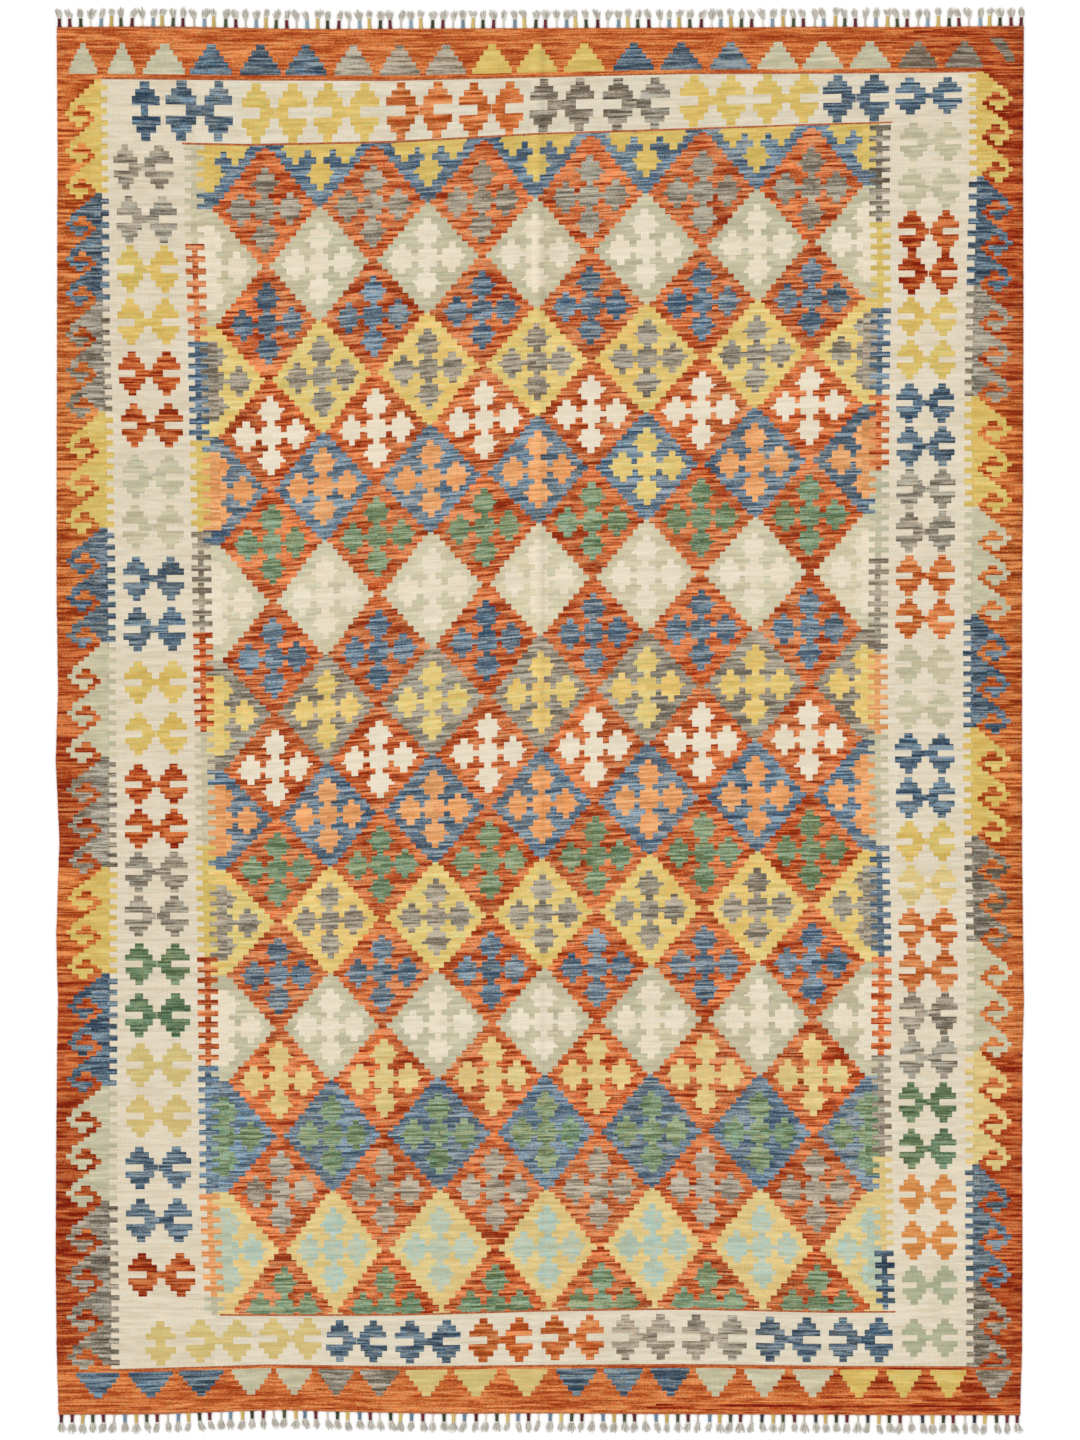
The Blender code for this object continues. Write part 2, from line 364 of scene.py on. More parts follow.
    def _painted_crease_light(self, tree: NodeTree) -> NodeSocket:
        """Paint the light and shade of the old fold's flanks into the colour, along the middle of the rug.

        Args:
            tree: the material's node tree.

        Returns:
            The factor by which the fold's painted highlight and painted shade change the colour.
        """
        place = add_node(tree, "TexCoord", {}).outputs["Object"]
        axes = add_node(tree, "SeparateXYZ", {0: place})
        rise = sums(tree, axes.outputs[1], ("MULTIPLY", self.painted_crease_rise), ("ADD", self.painted_crease_middle))
        strength = sums(tree, rise, ("MINIMUM", 1.0))
        total = 1.0
        for middle, half, change in self.painted_crease_marks:
            off = sums(tree, axes.outputs[0], ("SUBTRACT", middle), ("ABSOLUTE", None))
            near = sums(tree, off, ("DIVIDE", -half), ("ADD", 1.0), ("MAXIMUM", 0.0))
            mark = sums(tree, near, ("MULTIPLY", strength), ("MULTIPLY", change))
            total = sums(tree, total, ("ADD", mark))
        return total

    def _lines(self, spot: WovenSpot) -> NodeSocket:
        """Give each row its own tone for the length of one thread, so that it shows as a clean line.

        Args:
            spot: where on the chart.

        Returns:
            What the lines add to the tone.
        """
        tree = spot.tree
        row = sums(tree, spot.beaten, ("DIVIDE", self.row), ("FLOOR", None))
        start = sums(tree, row, ("MULTIPLY", THREAD_STEP))
        thread = sums(tree, spot.u, ("DIVIDE", self.thread), ("ADD", start), ("FLOOR", None))
        place = add_node(tree, "CombineXYZ", {0: thread, 1: row, 2: spot.lot})
        chance = add_node(tree, "TexWhiteNoise", {"Vector": place.outputs[0]}).outputs["Value"]
        share = self.line_share * self.streaks
        return sums(tree, chance, ("SUBTRACT", 0.5), ("MULTIPLY", share))

    def _cast(self, spot: WovenSpot, shade: NodeSocket) -> NodeSocket:
        """Let the shade drift between a warm and a cool cast, from lot to lot and spot to spot.

        Args:
            spot: where on the chart.
            shade: the wool's shade.

        Returns:
            The shade with its cast.
        """
        tree = spot.tree
        parts = {
            0: sums(tree, spot.u, ("DIVIDE", self.cast_length)),
            1: sums(tree, spot.beaten, ("DIVIDE", self.cast_height)),
            2: spot.lot,
        }
        place = add_node(tree, "CombineXYZ", parts)
        noise = {"Vector": place.outputs[0], "Scale": 1.0, "Detail": 1.0}
        near = add_node(tree, "TexNoise", noise).outputs[0]
        near = sums(tree, near, ("SUBTRACT", 0.5), ("MULTIPLY", self.cast_near))
        whole = sums(tree, spot.lot, ("MULTIPLY", CAST_STEP), ("FRACT", None), ("SUBTRACT", 0.5))
        whole = sums(tree, whole, ("MULTIPLY", self.cast_whole))
        swing = sums(tree, near, ("ADD", whole), ("MULTIPLY", self.cast))
        lean = {0: self.warmth, "Scale": swing}
        lean = add_node(tree, "VectorMath", lean, operation="SCALE").outputs[0]
        factor = {0: lean, 1: (1.0, 1.0, 1.0)}
        factor = add_node(tree, "VectorMath", factor, operation="ADD").outputs[0]
        tinted = {0: shade, 1: factor}
        return add_node(tree, "VectorMath", tinted, operation="MULTIPLY").outputs[0]


@dataclass(frozen=True)
class TwistedYarn:
    """Plied yarn or loose warp ends: matt, with fine fibres that run along the thread.

    Each strand takes a slightly different shade, and the plies show as slanting lines.
    """

    name: str
    deep: str
    pale: str
    # A ply turns once in about 3 mm of thread
    ply: float = 3.0 * MM
    fibre: float = 0.7 * MM
    relief: float = 0.3 * MM
    roughness: float = 0.9
    sheen: float = 0.08

    def material(self) -> Material:
        """Build the yarn's material.

        Returns:
            The material, for one slot of a fringe or of the twined lines.
        """
        material, shader = soft_surface(self.name, self.roughness, self.sheen)
        tree = material.node_tree
        spot = add_node(tree, "TexCoord", {}).outputs["Object"]
        lot = add_node(tree, "Attribute", {}, attribute_name="lot").outputs["Fac"]
        axes = add_node(tree, "SeparateXYZ", {0: spot})
        noise = {"Vector": spot, "Scale": 1 / self.fibre, "Detail": 2.0}
        fibres = add_node(tree, "TexNoise", noise)
        slant = sums(tree, axes.outputs[0], ("ADD", axes.outputs[1]), ("MULTIPLY", math.tau / self.ply))
        plies = sums(tree, slant, ("SINE", None), ("MULTIPLY", 0.5), ("ADD", 0.5))
        shade = sums(tree, lot, ("MULTIPLY", SHADE_STEP), ("FRACT", None), ("MULTIPLY", 0.6))
        ply_share = sums(tree, plies, ("MULTIPLY", 0.2))
        fibre_share = sums(tree, fibres.outputs[0], ("MULTIPLY", 0.5), ("SUBTRACT", 0.1))
        tone = sums(tree, shade, ("ADD", ply_share), ("ADD", fibre_share))
        ends = {"Factor": tone, "A": linear(self.deep), "B": linear(self.pale)}
        shades = add_node(tree, "Mix", ends, data_type="RGBA")
        relief = {"Height": fibres.outputs[0], "Distance": self.relief, "Strength": 0.5}
        bump = add_node(tree, "Bump", relief)
        tree.links.new(shades.outputs["Result"], shader.inputs["Base Color"])
        tree.links.new(bump.outputs[0], shader.inputs["Normal"])
        return material


class Yarn(Enum):
    """The dyed wools of the cloth, in the order of their slots on its mesh.

    Shades are the wool's own, from its deepest to its palest streak. Then come the strength of the
    streaks, of the heather and of the drift between a warm and a cool cast, and a streak's height.
    """

    BORDER_ORANGE = DyedWool("wool_border_orange", "#8B2903", "#BF6129", "#E79657", 0.93, 0.5, 0.55)
    BAND_ORANGE = DyedWool("wool_band_orange", "#9A350E", "#C86B33", "#E9995D", 0.76, 0.65, 0.45, FINE)
    MADDER = DyedWool("wool_madder_red", "#8C2603", "#C46636", "#EC9A66", 0.93, 0.5, 0.9)
    CREAM = DyedWool("wool_natural_cream", "#CDC1A8", "#DDD2BB", "#E9DFCB", 0.5, 0.3, 0.2, EVEN)
    WHITE = DyedWool("wool_washed_white", "#D7CBB2", "#E6DAC2", "#F2E6D1", 0.45, 0.25, 0.15, EVEN)
    SAGE = DyedWool("wool_pale_sage", "#ADA78B", "#C3BC9E", "#D8D1B2", 0.55, 0.3, 0.25, EVEN)
    GREY = DyedWool("wool_undyed_grey", "#665D4F", "#9C9280", "#C1B7A3", 0.88, 0.5, 0.35)
    BLUE = DyedWool("wool_indigo_blue", "#31465A", "#647582", "#9FAEB7", 0.86, 0.6, 0.8, FINE)
    YELLOW = DyedWool("wool_weld_yellow", "#C3A24B", "#D5B866", "#E6CE80", 0.5, 0.3, 0.4, EVEN)
    PALE_YELLOW = DyedWool("wool_pale_yellow", "#C6AD6E", "#DBC282", "#EDD799", 0.5, 0.3, 0.35, EVEN)
    GREEN = DyedWool("wool_leaf_green", "#4E6340", "#7C8E6C", "#A5B694", 0.85, 0.6, 0.75, FINE)
    LIGHT_ORANGE = DyedWool("wool_light_orange", "#C07940", "#E49E65", "#F9BF87", 0.58, 0.35, 0.5)
    AQUA = DyedWool("wool_pale_aqua", "#A2B09B", "#B7C4AF", "#CAD5C0", 0.5, 0.3, 0.7, EVEN)
    RUST_LINE = DyedWool("wool_rust_line", "#8E3A18", "#A94F28", "#C26E44", 0.5, 0.4, 0.3)
    TERRACOTTA = DyedWool("wool_terracotta", "#A0400F", "#C97039", "#EA9C64", 0.9, 0.5, 0.7)
    WASHED_SAGE = DyedWool("wool_washed_sage", "#BCB497", "#D1C8AA", "#E2D9BA", 0.55, 0.3, 0.25, EVEN)
    GREEN_SAGE = DyedWool("wool_green_sage", "#989C7D", "#ABAD8F", "#BFC1A2", 0.42, 0.3, 0.2, EVEN)
    WARM_GREY = DyedWool("wool_warm_grey", "#736859", "#AB9E8A", "#CABEA9", 0.87, 0.5, 0.35)
    DARK_GREY = DyedWool("wool_dark_grey", "#564C3F", "#8B8170", "#BFB5A3", 0.84, 0.5, 0.35)
    BROWN_GREY = DyedWool("wool_brown_grey", "#4E4332", "#766A5A", "#A49886", 0.85, 0.5, 0.35)
    DEEP_BLUE = DyedWool("wool_deep_indigo", "#27394A", "#596975", "#8F9FA8", 0.9, 0.6, 0.75, FINE)
    FIELD_YELLOW = DyedWool("wool_bright_yellow", "#CBAD5B", "#E0C375", "#F0DA95", 0.5, 0.3, 0.5, EVEN)
    STRAW = DyedWool("wool_straw_yellow", "#C0AA67", "#D1BA79", "#E1CE90", 0.45, 0.3, 0.25, EVEN)
    DEEP_GREEN = DyedWool("wool_deep_green", "#40563A", "#687D5B", "#8FA382", 0.82, 0.6, 0.65, FINE)
    APRICOT = DyedWool("wool_apricot", "#B87034", "#D78D4C", "#EBAA6C", 0.58, 0.35, 0.4)
    BORDER_RED = DyedWool("wool_border_red", "#7C1400", "#AE491C", "#D67F48", 0.95, 0.5, 0.55)


@dataclass(frozen=True)
class WeaveMap:
    """Where a charted place lies on the real cloth, whose wefts and warps wander.

    A charted place is (u, v): u counts across the warps and v along them, in metres from the
    middle of a perfect rug of the same size.
    """

    # The warps that carry a seam of the pattern: on each side the comb, the axis of the border's
    # motifs and the ladder, and between them the columns of diamonds
    seams: tuple[float, ...] = (
        CREAM_LEFT, -0.820, FIELD_LEFT, -0.565, -0.336, -0.107,
        0.122, 0.351, 0.580, FIELD_RIGHT, 0.823, CREAM_RIGHT,
    )
    # Distance from the middle, then where each seam runs there, all in centimetres
    seam_runs: tuple[tuple[float, ...], ...] = (
        (136, -93.4, -85.1, -73.3, -58.4, -35.0, -11.8, 11.1, 34.6, 57.8, 72.3, 83.1, 92.8),
        (110, -93.1, -84.0, -73.7, -58.4, -35.4, -12.2, 10.3, 34.5, 57.7, 72.0, 83.0, 92.9),
        (88, -93.0, -83.4, -72.9, -58.2, -35.6, -12.4, 10.8, 34.8, 57.7, 72.5, 82.6, 92.2),
        (65, -92.2, -83.1, -72.5, -57.2, -35.0, -11.9, 10.9, 34.3, 57.2, 72.1, 82.3, 91.7),
        (42, -92.0, -82.4, -72.2, -57.2, -34.6, -11.8, 11.1, 34.2, 57.4, 72.0, 82.2, 91.9),
        (18, -91.7, -82.1, -71.7, -56.5, -34.5, -11.1, 11.2, 34.0, 57.5, 71.8, 81.9, 91.6),
        (-6, -91.6, -81.8, -71.4, -56.2, -34.5, -11.2, 11.5, 34.3, 57.2, 71.8, 82.0, 91.6),
        (-29, -91.5, -81.6, -71.1, -55.7, -33.7, -10.8, 11.8, 34.8, 57.6, 72.1, 82.3, 91.8),
        (-53, -91.5, -81.6, -70.7, -55.5, -33.5, -10.5, 12.2, 35.0, 57.8, 72.6, 82.7, 92.4),
        (-75, -91.5, -81.7, -70.5, -55.3, -33.3, -10.0, 12.1, 35.1, 58.2, 72.5, 82.3, 92.1),
        (-100, -91.6, -81.1, -70.4, -55.1, -33.0, -9.5, 12.4, 35.3, 58.5, 72.9, 82.5, 92.0),
        (-124, -91.2, -80.5, -69.2, -54.3, -32.7, -9.3, 13.2, 35.7, 59.1, 73.5, 82.9, 92.2),
    )
    # How many times a measured spot's charted place is refined
    searches: int = 8
    # Where the wefts are known across the cloth (m)
    stations: tuple[float, ...] = (-0.9, -0.6, -0.3, 0.0, 0.3, 0.6, 0.9)
    # A weft's distance from the middle (cm), then how far it strays at each station (mm)
    weft_runs: tuple[tuple[float, ...], ...] = (
        (136.8, -3, -6, -7, 0, 7, 8, 11),
        (124.5, -16, -22, -16, 1, 11, 22, 30),
        (110.85, -21, -23, -12, 0, 14, 25, 33),
        (88, -44, -42, -18, -4, 6, 18, 18),
        (64.9, -46, -47, -28, -2, 7, 22, 23),
        (42, -49, -49, -27, -2, 7, 15, 24),
        (17.65, -54, -48, -27, 4, 16, 18, 15),
        (-6.3, -48, -44, -16, -1, 16, 23, 22),
        (-29.15, -27, -28, -15, -4, 8, 14, 18),
        (-53, -14, -13, -6, 2, 10, 16, 15),
        (-75.35, -16, -15, -9, -2, 0, -4, -3),
        (-99.45, -10, -8, -5, -4, 1, -8, -8),
        (-125.5, -9, -11, -10, -1, 3, -4, -3),
        (-137.8, -4, 6, 2, 5, 7, 3, 2),
    )

    @staticmethod
    def selvedge_x(y: Array, side: int) -> Array:
        """Find the cloth's left or right edge.

        Args:
            y: places along the rug.
            side: -1 for the left edge, 1 for the right one.

        Returns:
            The edge's x at each place.
        """
        distances, left, right = (np.array(column, float) for column in zip(*SELVEDGE_DRIFT))
        inwards = np.interp(HALF_LENGTH - y, distances, left if side < 0 else right) * MM
        return side * (HALF_WIDTH - inwards)

    @staticmethod
    def end_y(x: Array, side: int) -> Array:
        """Find where the woven cloth ends.

        Args:
            x: places across the rug.
            side: 1 for the first end, -1 for the last one.

        Returns:
            The end's y at each place.
        """
        distances, first, last = (np.array(column, float) for column in zip(*END_DRIFT))
        inwards = np.interp(x + HALF_WIDTH, distances, first if side > 0 else last) * MM
        return side * (CLOTH_HALF_LENGTH - inwards)

    def _weft_stray(self, u: Array, v: Array) -> Array:
        """Find how far the wefts stray from straight lines.

        Args:
            u: charted places across the warps.
            v: charted places along them.

        Returns:
            What is added to each place's y.
        """
        table = np.array(self.weft_runs, float)[::-1]
        known, strays = table[:, 0] * CM, table[:, 1:] * MM
        ends = [self.end_y(np.array(self.stations), side) - side * CLOTH_HALF_LENGTH for side in (-1, 1)]
        known = np.concatenate([[-CLOTH_HALF_LENGTH], known, [CLOTH_HALF_LENGTH]])
        strays = np.vstack([ends[0], strays, ends[1]])
        columns = np.array([np.interp(v, known, strays[:, i]) for i in range(len(self.stations))])
        return self._between(np.array(self.stations), columns, u)

    @staticmethod
    def _between(knots: Array, columns: Array, u: Array) -> Array:
        """Interpolate across knots whose values differ from place to place.

        Args:
            knots: where the values are known.
            columns: each knot's value at each place.
            u: the places.

        Returns:
            The value at each place.
        """
        held = np.clip(u, knots[0], knots[-1])
        right = np.clip(np.searchsorted(knots, held), 1, len(knots) - 1)
        share = (held - knots[right - 1]) / (knots[right] - knots[right - 1])
        index = np.arange(len(held))
        return columns[right - 1, index] * (1 - share) + columns[right, index] * share

    def place(self, u: Array, v: Array) -> tuple[Array, Array]:
        """Lay charted places on the cloth.

        Args:
            u: charted places across the warps.
            v: charted places along them.

        Returns:
            The same places' x and y on the cloth.
        """
        y = v + self._weft_stray(u, v)
        table = np.array(self.seam_runs, float)[::-1] * CM
        runs = [np.interp(v, table[:, 0], table[:, i]) for i in range(1, table.shape[1])]
        columns = np.array([self.selvedge_x(y, -1), *runs, self.selvedge_x(y, 1)])
        knots = np.array([-HALF_WIDTH, *self.seams, HALF_WIDTH])
        beyond = u - np.clip(u, -HALF_WIDTH, HALF_WIDTH)
        return self._between(knots, columns, u) + beyond, y

    def charted(self, x: float, y: float) -> Place:
        """Find the charted place of a measured spot.

        Args:
            x: the spot's x on the cloth, in centimetres.
            y: the spot's y on the cloth, in centimetres.

        Returns:
            The charted (u, v).
        """
        u, v = x * CM, y * CM
        for _ in range(self.searches):
            at_x, at_y = self.place(np.array([u]), np.array([v]))
            u += x * CM - float(at_x[0])
            v += y * CM - float(at_y[0])
        return u, v


@dataclass
class Patch:
    """One area of one yarn on the chart, and the dye lot that its streaks come from."""

    yarn: Yarn
    outline: list[Place]
    lot: float


@dataclass
class Window:
    """The part of the chart that a motif may fill."""

    left: float = -HALF_WIDTH
    right: float = HALF_WIDTH
    bottom: float = -CLOTH_HALF_LENGTH
    top: float = CLOTH_HALF_LENGTH

    def clip(self, step: Step) -> Step | None:
        """Cut a weft step to the window.

        Args:
            step: the step's top, bottom, left and right.

        Returns:
            The step inside the window, or None where nothing of it is left.
        """
        top, bottom = min(step[0], self.top), max(step[1], self.bottom)
        left, right = max(step[2], self.left), min(step[3], self.right)
        return (top, bottom, left, right) if top - bottom > MM and right - left > MM else None


# The field inside its ladders and twined lines
FIELD = Window(FIELD_LEFT, FIELD_RIGHT, FIELD_BOTTOM, FIELD_TOP)


@dataclass
class Chart:
    """The weaver's chart: patches of yarn, the later ones over the earlier ones."""

    patches: list[Patch] = field(default_factory=list)
    rng: random.Random = field(default_factory=lambda: random.Random(5))
    # Dye lots are numbered up to this
    lots: float = 500.0

    def lay(
        self, yarn: Yarn, steps: Sequence[Step], window: Window | None = None, wander: float = 0.0
    ) -> None:
        """Lay one motif, given as a stack of weft steps from its top down.

        Args:
            yarn: the yarn it is woven in.
            steps: each step's top, bottom, left and right.
            window: what it may fill, the whole cloth where None.
            wander: how far the end of a step may stray, in metres.
        """
        limits = window or Window()
        run: list[Step] = []
        for step in [*steps, None]:
            cut = None
            if step is not None:
                stray = (self.rng.uniform(-wander, wander), self.rng.uniform(-wander, wander))
                cut = limits.clip((step[0], step[1], step[2] + stray[0], step[3] + stray[1]))
            if run and (cut is None or cut[2] >= run[-1][3] or cut[3] <= run[-1][2]):
                self._outline(yarn, run)
                run = []
            if cut is not None:
                run.append(cut)

    def _outline(self, yarn: Yarn, run: list[Step]) -> None:
        """Turn a stack of steps that touch into one patch.

        Args:
            yarn: the yarn it is woven in.
            run: the steps, from the top down.
        """
        left = [(step[2], edge) for step in run for edge in step[:2]]
        right = [(step[3], edge) for step in run for edge in step[:2]]
        # On whole millimetres, so that motifs that meet share their corners
        corners = [(round(u, 3), round(v, 3)) for u, v in left + right[::-1]]
        outline = [spot for i, spot in enumerate(corners) if spot != corners[i - 1]]
        self.patches.append(Patch(yarn, outline, self.rng.uniform(0.0, self.lots)))

    def block(self, yarn: Yarn, window: Window) -> None:
        """Lay one plain block of yarn."""
        self.lay(yarn, [(window.top, window.bottom, window.left, window.right)])


def stack(center: float, top: float, heights: Sequence[float], spans: Sequence[Place]) -> list[Step]:
    """Stack weft steps downwards from a motif's top.

    Args:
        center: the motif's axis.
        top: where its first step starts.
        heights: each step's height.
        spans: each step's left and right, from the axis.

    Returns:
        The steps.
    """
    steps = []
    for height, (left, right) in zip(heights, spans):
        steps.append((top, top - height, center + left, center + right))
        top -= height
    return steps


def mm(*sizes: float) -> tuple[float, ...]:
    """Turn sizes in millimetres into metres."""
    return tuple(size * MM for size in sizes)


def even_spans(halves: Sequence[float]) -> list[Place]:
    """Spans that reach as far to the left of the axis as to the right."""
    return [(-half, half) for half in halves]


@dataclass
class Motif:
    """A part of the pattern, with the chart that takes it and the map that places what was measured."""

    chart: Chart
    weave: WeaveMap


@dataclass
class DiamondField(Motif):
    """The middle of the rug: rows of stepped diamonds, each with a cross of five lobes."""

    first_column: float = -0.565
    column_pitch: float = 0.229
    columns: int = 6
    # Weft of each row's middle (cm), and the yarn of its diamonds' lobes
    rows: tuple[tuple[float, Yarn], ...] = (
        (110.85, Yarn.GREY), (88.0, Yarn.BLUE), (64.9, Yarn.WHITE), (42.0, Yarn.GREEN),
        (17.65, Yarn.BLUE), (-6.3, Yarn.WHITE), (-29.15, Yarn.GREEN), (-53.0, Yarn.BLUE),
        (-75.35, Yarn.PALE_YELLOW), (-99.45, Yarn.WARM_GREY), (-124.3, Yarn.GREEN),
    )
    # Where the row above the first one, which the end border hides, would have its middle (cm)
    hidden_row: float = 136.6
    # The yarns of the diamonds between the rows: ground and lobes, from above the first row down
    between: tuple[tuple[Yarn, Yarn], ...] = (
        (Yarn.BLUE, Yarn.YELLOW), (Yarn.SAGE, Yarn.WHITE), (Yarn.FIELD_YELLOW, Yarn.GREY),
        (Yarn.BLUE, Yarn.LIGHT_ORANGE), (Yarn.WASHED_SAGE, Yarn.WHITE), (Yarn.GREY, Yarn.FIELD_YELLOW),
        (Yarn.BLUE, Yarn.LIGHT_ORANGE), (Yarn.FIELD_YELLOW, Yarn.GREY), (Yarn.SAGE, Yarn.WHITE),
        (Yarn.BLUE, Yarn.GREEN), (Yarn.PALE_YELLOW, Yarn.AQUA), (Yarn.PALE_YELLOW, Yarn.AQUA),
    )
    # One diamond between the third and fourth rows has lobes of another yarn: its row and column
    odd_diamond: tuple[int, int] = (3, 4)
    steps_per_row: int = 18
    # In steps: from a cross's middle to its end, and to a side lobe's; the tip of a diamond that has a
    # dye lot of its own; and where the ground between the diamonds changes to its next lot
    cross_reach: float = 6.5
    lobe_reach: float = 2.5
    tip_steps: int = 3
    ground_lot: float = 2.5
    neck: float = 8.5 * MM
    growth: float = 11.1 * MM
    # Half the width of a lobe's nub, its shoulder, and its foot, whose ends slant
    lobe: tuple[float, float, float, float] = (7.5 * MM, 19.5 * MM, 25 * MM, 30 * MM)
    # How often the wefts of a foot slant upwards to the right
    upward: float = 0.7
    # The least and the most height of a foot, in steps
    foot_height: Place = (0.62, 0.98)
    side_lobe: float = 52 * MM
    stray: float = 1.6 * MM
    wander: float = 1.5 * MM

    def draw(self) -> None:
        """Chart the whole field."""
        middles = [row * CM for row, _ in self.rows]
        edges = [self.hidden_row * CM, *middles, 2 * middles[-1] - middles[-2]]
        for number, (ground, _) in enumerate(self.between):
            self._ground_between(ground, edges[number], edges[number + 1])
        for number, middle in enumerate(middles):
            halves = (
                (edges[number] - middle) / self.steps_per_row,
                (middle - edges[number + 2]) / self.steps_per_row,
            )
            for column in range(self.columns):
                center = self.first_column + column * self.column_pitch
                self._diamond(center, middle, halves)
                self._cross(self.rows[number][1], center, middle, sum(halves) / 2)
        for number, (_, lobes) in enumerate(self.between[: len(middles)]):
            top, bottom = edges[number], edges[number + 1]
            step = (top - bottom) / self.steps_per_row
            for column in range(self.columns + 1):
                center = self.first_column + (column - 0.5) * self.column_pitch
                yarn = Yarn.FIELD_YELLOW if (number, column) == self.odd_diamond else lobes
                self._cross(yarn, center, (top + bottom) / 2, step)
                side = {0: -1, self.columns: 1}.get(column, 0)
                if side:
                    self._half_column(yarn, center, (top + bottom) / 2, step, side)

    def _ground_between(self, yarn: Yarn, top: float, bottom: float) -> None:
        """Lay the ground of one row of the diamonds that fill the gaps, in several dye lots each.

        Args:
            yarn: the yarn of the ground.
            top: the middle of the row of diamonds above.
            bottom: the middle of the row of diamonds below.
        """
        step = (top - bottom) / self.steps_per_row
        levels = (top, top - self.ground_lot * step, bottom + self.ground_lot * step, bottom)
        half = self.column_pitch / 2
        for column in range(self.columns + 1):
            center = self.first_column + (column - 0.5) * self.column_pitch
            for upper, lower in zip(levels, levels[1:]):
                parts = ((-half, 0.0), (0.0, half)) if upper == levels[1] else ((-half, half),)
                for left, right in parts:
                    self.chart.lay(yarn, [(upper, lower, center + left, center + right)], FIELD)

    def _diamond(self, center: float, middle: float, halves: tuple[float, float]) -> None:
        """Lay one stepped diamond: its tips, and its left and right halves in their own dye lots.

        Args:
            center: its axis.
            middle: the weft of its middle.
            halves: the height of a step above its middle and below it.
        """
        reach = self.steps_per_row // 2
        steps: dict[int, Step] = {}
        for level in range(-reach, reach + 1):
            height = halves[0] if level < 0 else halves[1]
            width = self.neck + self.growth * (reach - abs(level))
            top = middle - (level - 0.5) * height
            bottom = middle - (level + 0.5) * height
            if level == 0:
                top, bottom = middle + halves[0] / 2, middle - halves[1] / 2
            if abs(level) == reach:
                top, bottom = (bottom + height / 2, bottom) if level < 0 else (top, top - height / 2)
            steps[level] = (top, bottom, center - width, center + width)
        split = reach - self.tip_steps
        tips = (range(-reach, -split), range(split + 1, reach + 1))
        for levels in tips:
            self.chart.lay(Yarn.MADDER, [steps[i] for i in levels], FIELD, self.wander)
        sides = [steps[i] for i in range(-split, split + 1)]
        self.chart.lay(Yarn.MADDER, [(s[0], s[1], s[2], center) for s in sides], FIELD, self.wander)
        self.chart.lay(Yarn.MADDER, [(s[0], s[1], center, s[3]) for s in sides], FIELD, self.wander)

    def _half_column(self, yarn: Yarn, center: float, middle: float, step: float, side: int) -> None:
        """Carry the axis of a cross that the ladder cuts in two on to the ladder.

        Args:
            yarn: the yarn of the cross.
            center: the cross's axis.
            middle: the weft of its middle.
            step: the height of a step.
            side: -1 for the left ladder, 1 for the right one.
        """
        inner = center - side * self.lobe[0]
        span = (FIELD_LEFT, inner) if side < 0 else (inner, FIELD_RIGHT)
        reach = self.cross_reach * step
        self.chart.lay(yarn, [(middle + reach, middle - reach, *span)], FIELD)

    def _cross(self, yarn: Yarn, center: float, middle: float, step: float) -> None:
        """Lay a cross of five lobes: three down the axis and one on each side of the middle one.

        Args:
            yarn: the yarn of the cross.
            center: its axis, from which it strays a little.
            middle: the weft of its middle.
            step: the height of a step.
        """
        center += self.chart.rng.uniform(-self.stray, self.stray)
        heights, spans = [step], even_spans(self.lobe[:1])
        for _ in range(3):
            lobe_heights, lobe_spans = self._lobe(step)
            heights += lobe_heights
            spans += lobe_spans
        top = middle + self.cross_reach * step
        self.chart.lay(yarn, stack(center, top, heights, spans), FIELD, self.wander)
        top = middle + self.lobe_reach * step
        for side in (-1, 1):
            heights, spans = self._lobe(step)
            for row in (1, 2):
                left, right = spans[row]
                spans[row] = (left, self.side_lobe) if side < 0 else (-self.side_lobe, right)
            place = center + side * (self.side_lobe + self.chart.rng.uniform(-self.stray, self.stray))
            heights, spans = [step, *heights], even_spans(self.lobe[:1]) + spans
            self.chart.lay(yarn, stack(place, top, heights, spans), FIELD, self.wander)

    def _lobe(self, step: float) -> tuple[list[float], list[Place]]:
        """Chart a lobe below its upper nub, from one lobe to the next a little different.

        Args:
            step: the height of a step.

        Returns:
            The steps' heights and spans, from the upper shoulder down.
        """
        nub, shoulder, near_foot, foot = self.lobe
        foot_height = self.chart.rng.uniform(*self.foot_height)
        rest = (3.0 - foot_height) / 2
        heights = [share * step for share in (rest, foot_height / 2, foot_height / 2, rest, 1.0)]
        slanted = [(-near_foot, foot), (-foot, near_foot)]
        if self.chart.rng.random() > self.upward:
            slanted.reverse()
        return heights, [*even_spans([shoulder]), *slanted, *even_spans([shoulder, nub])]


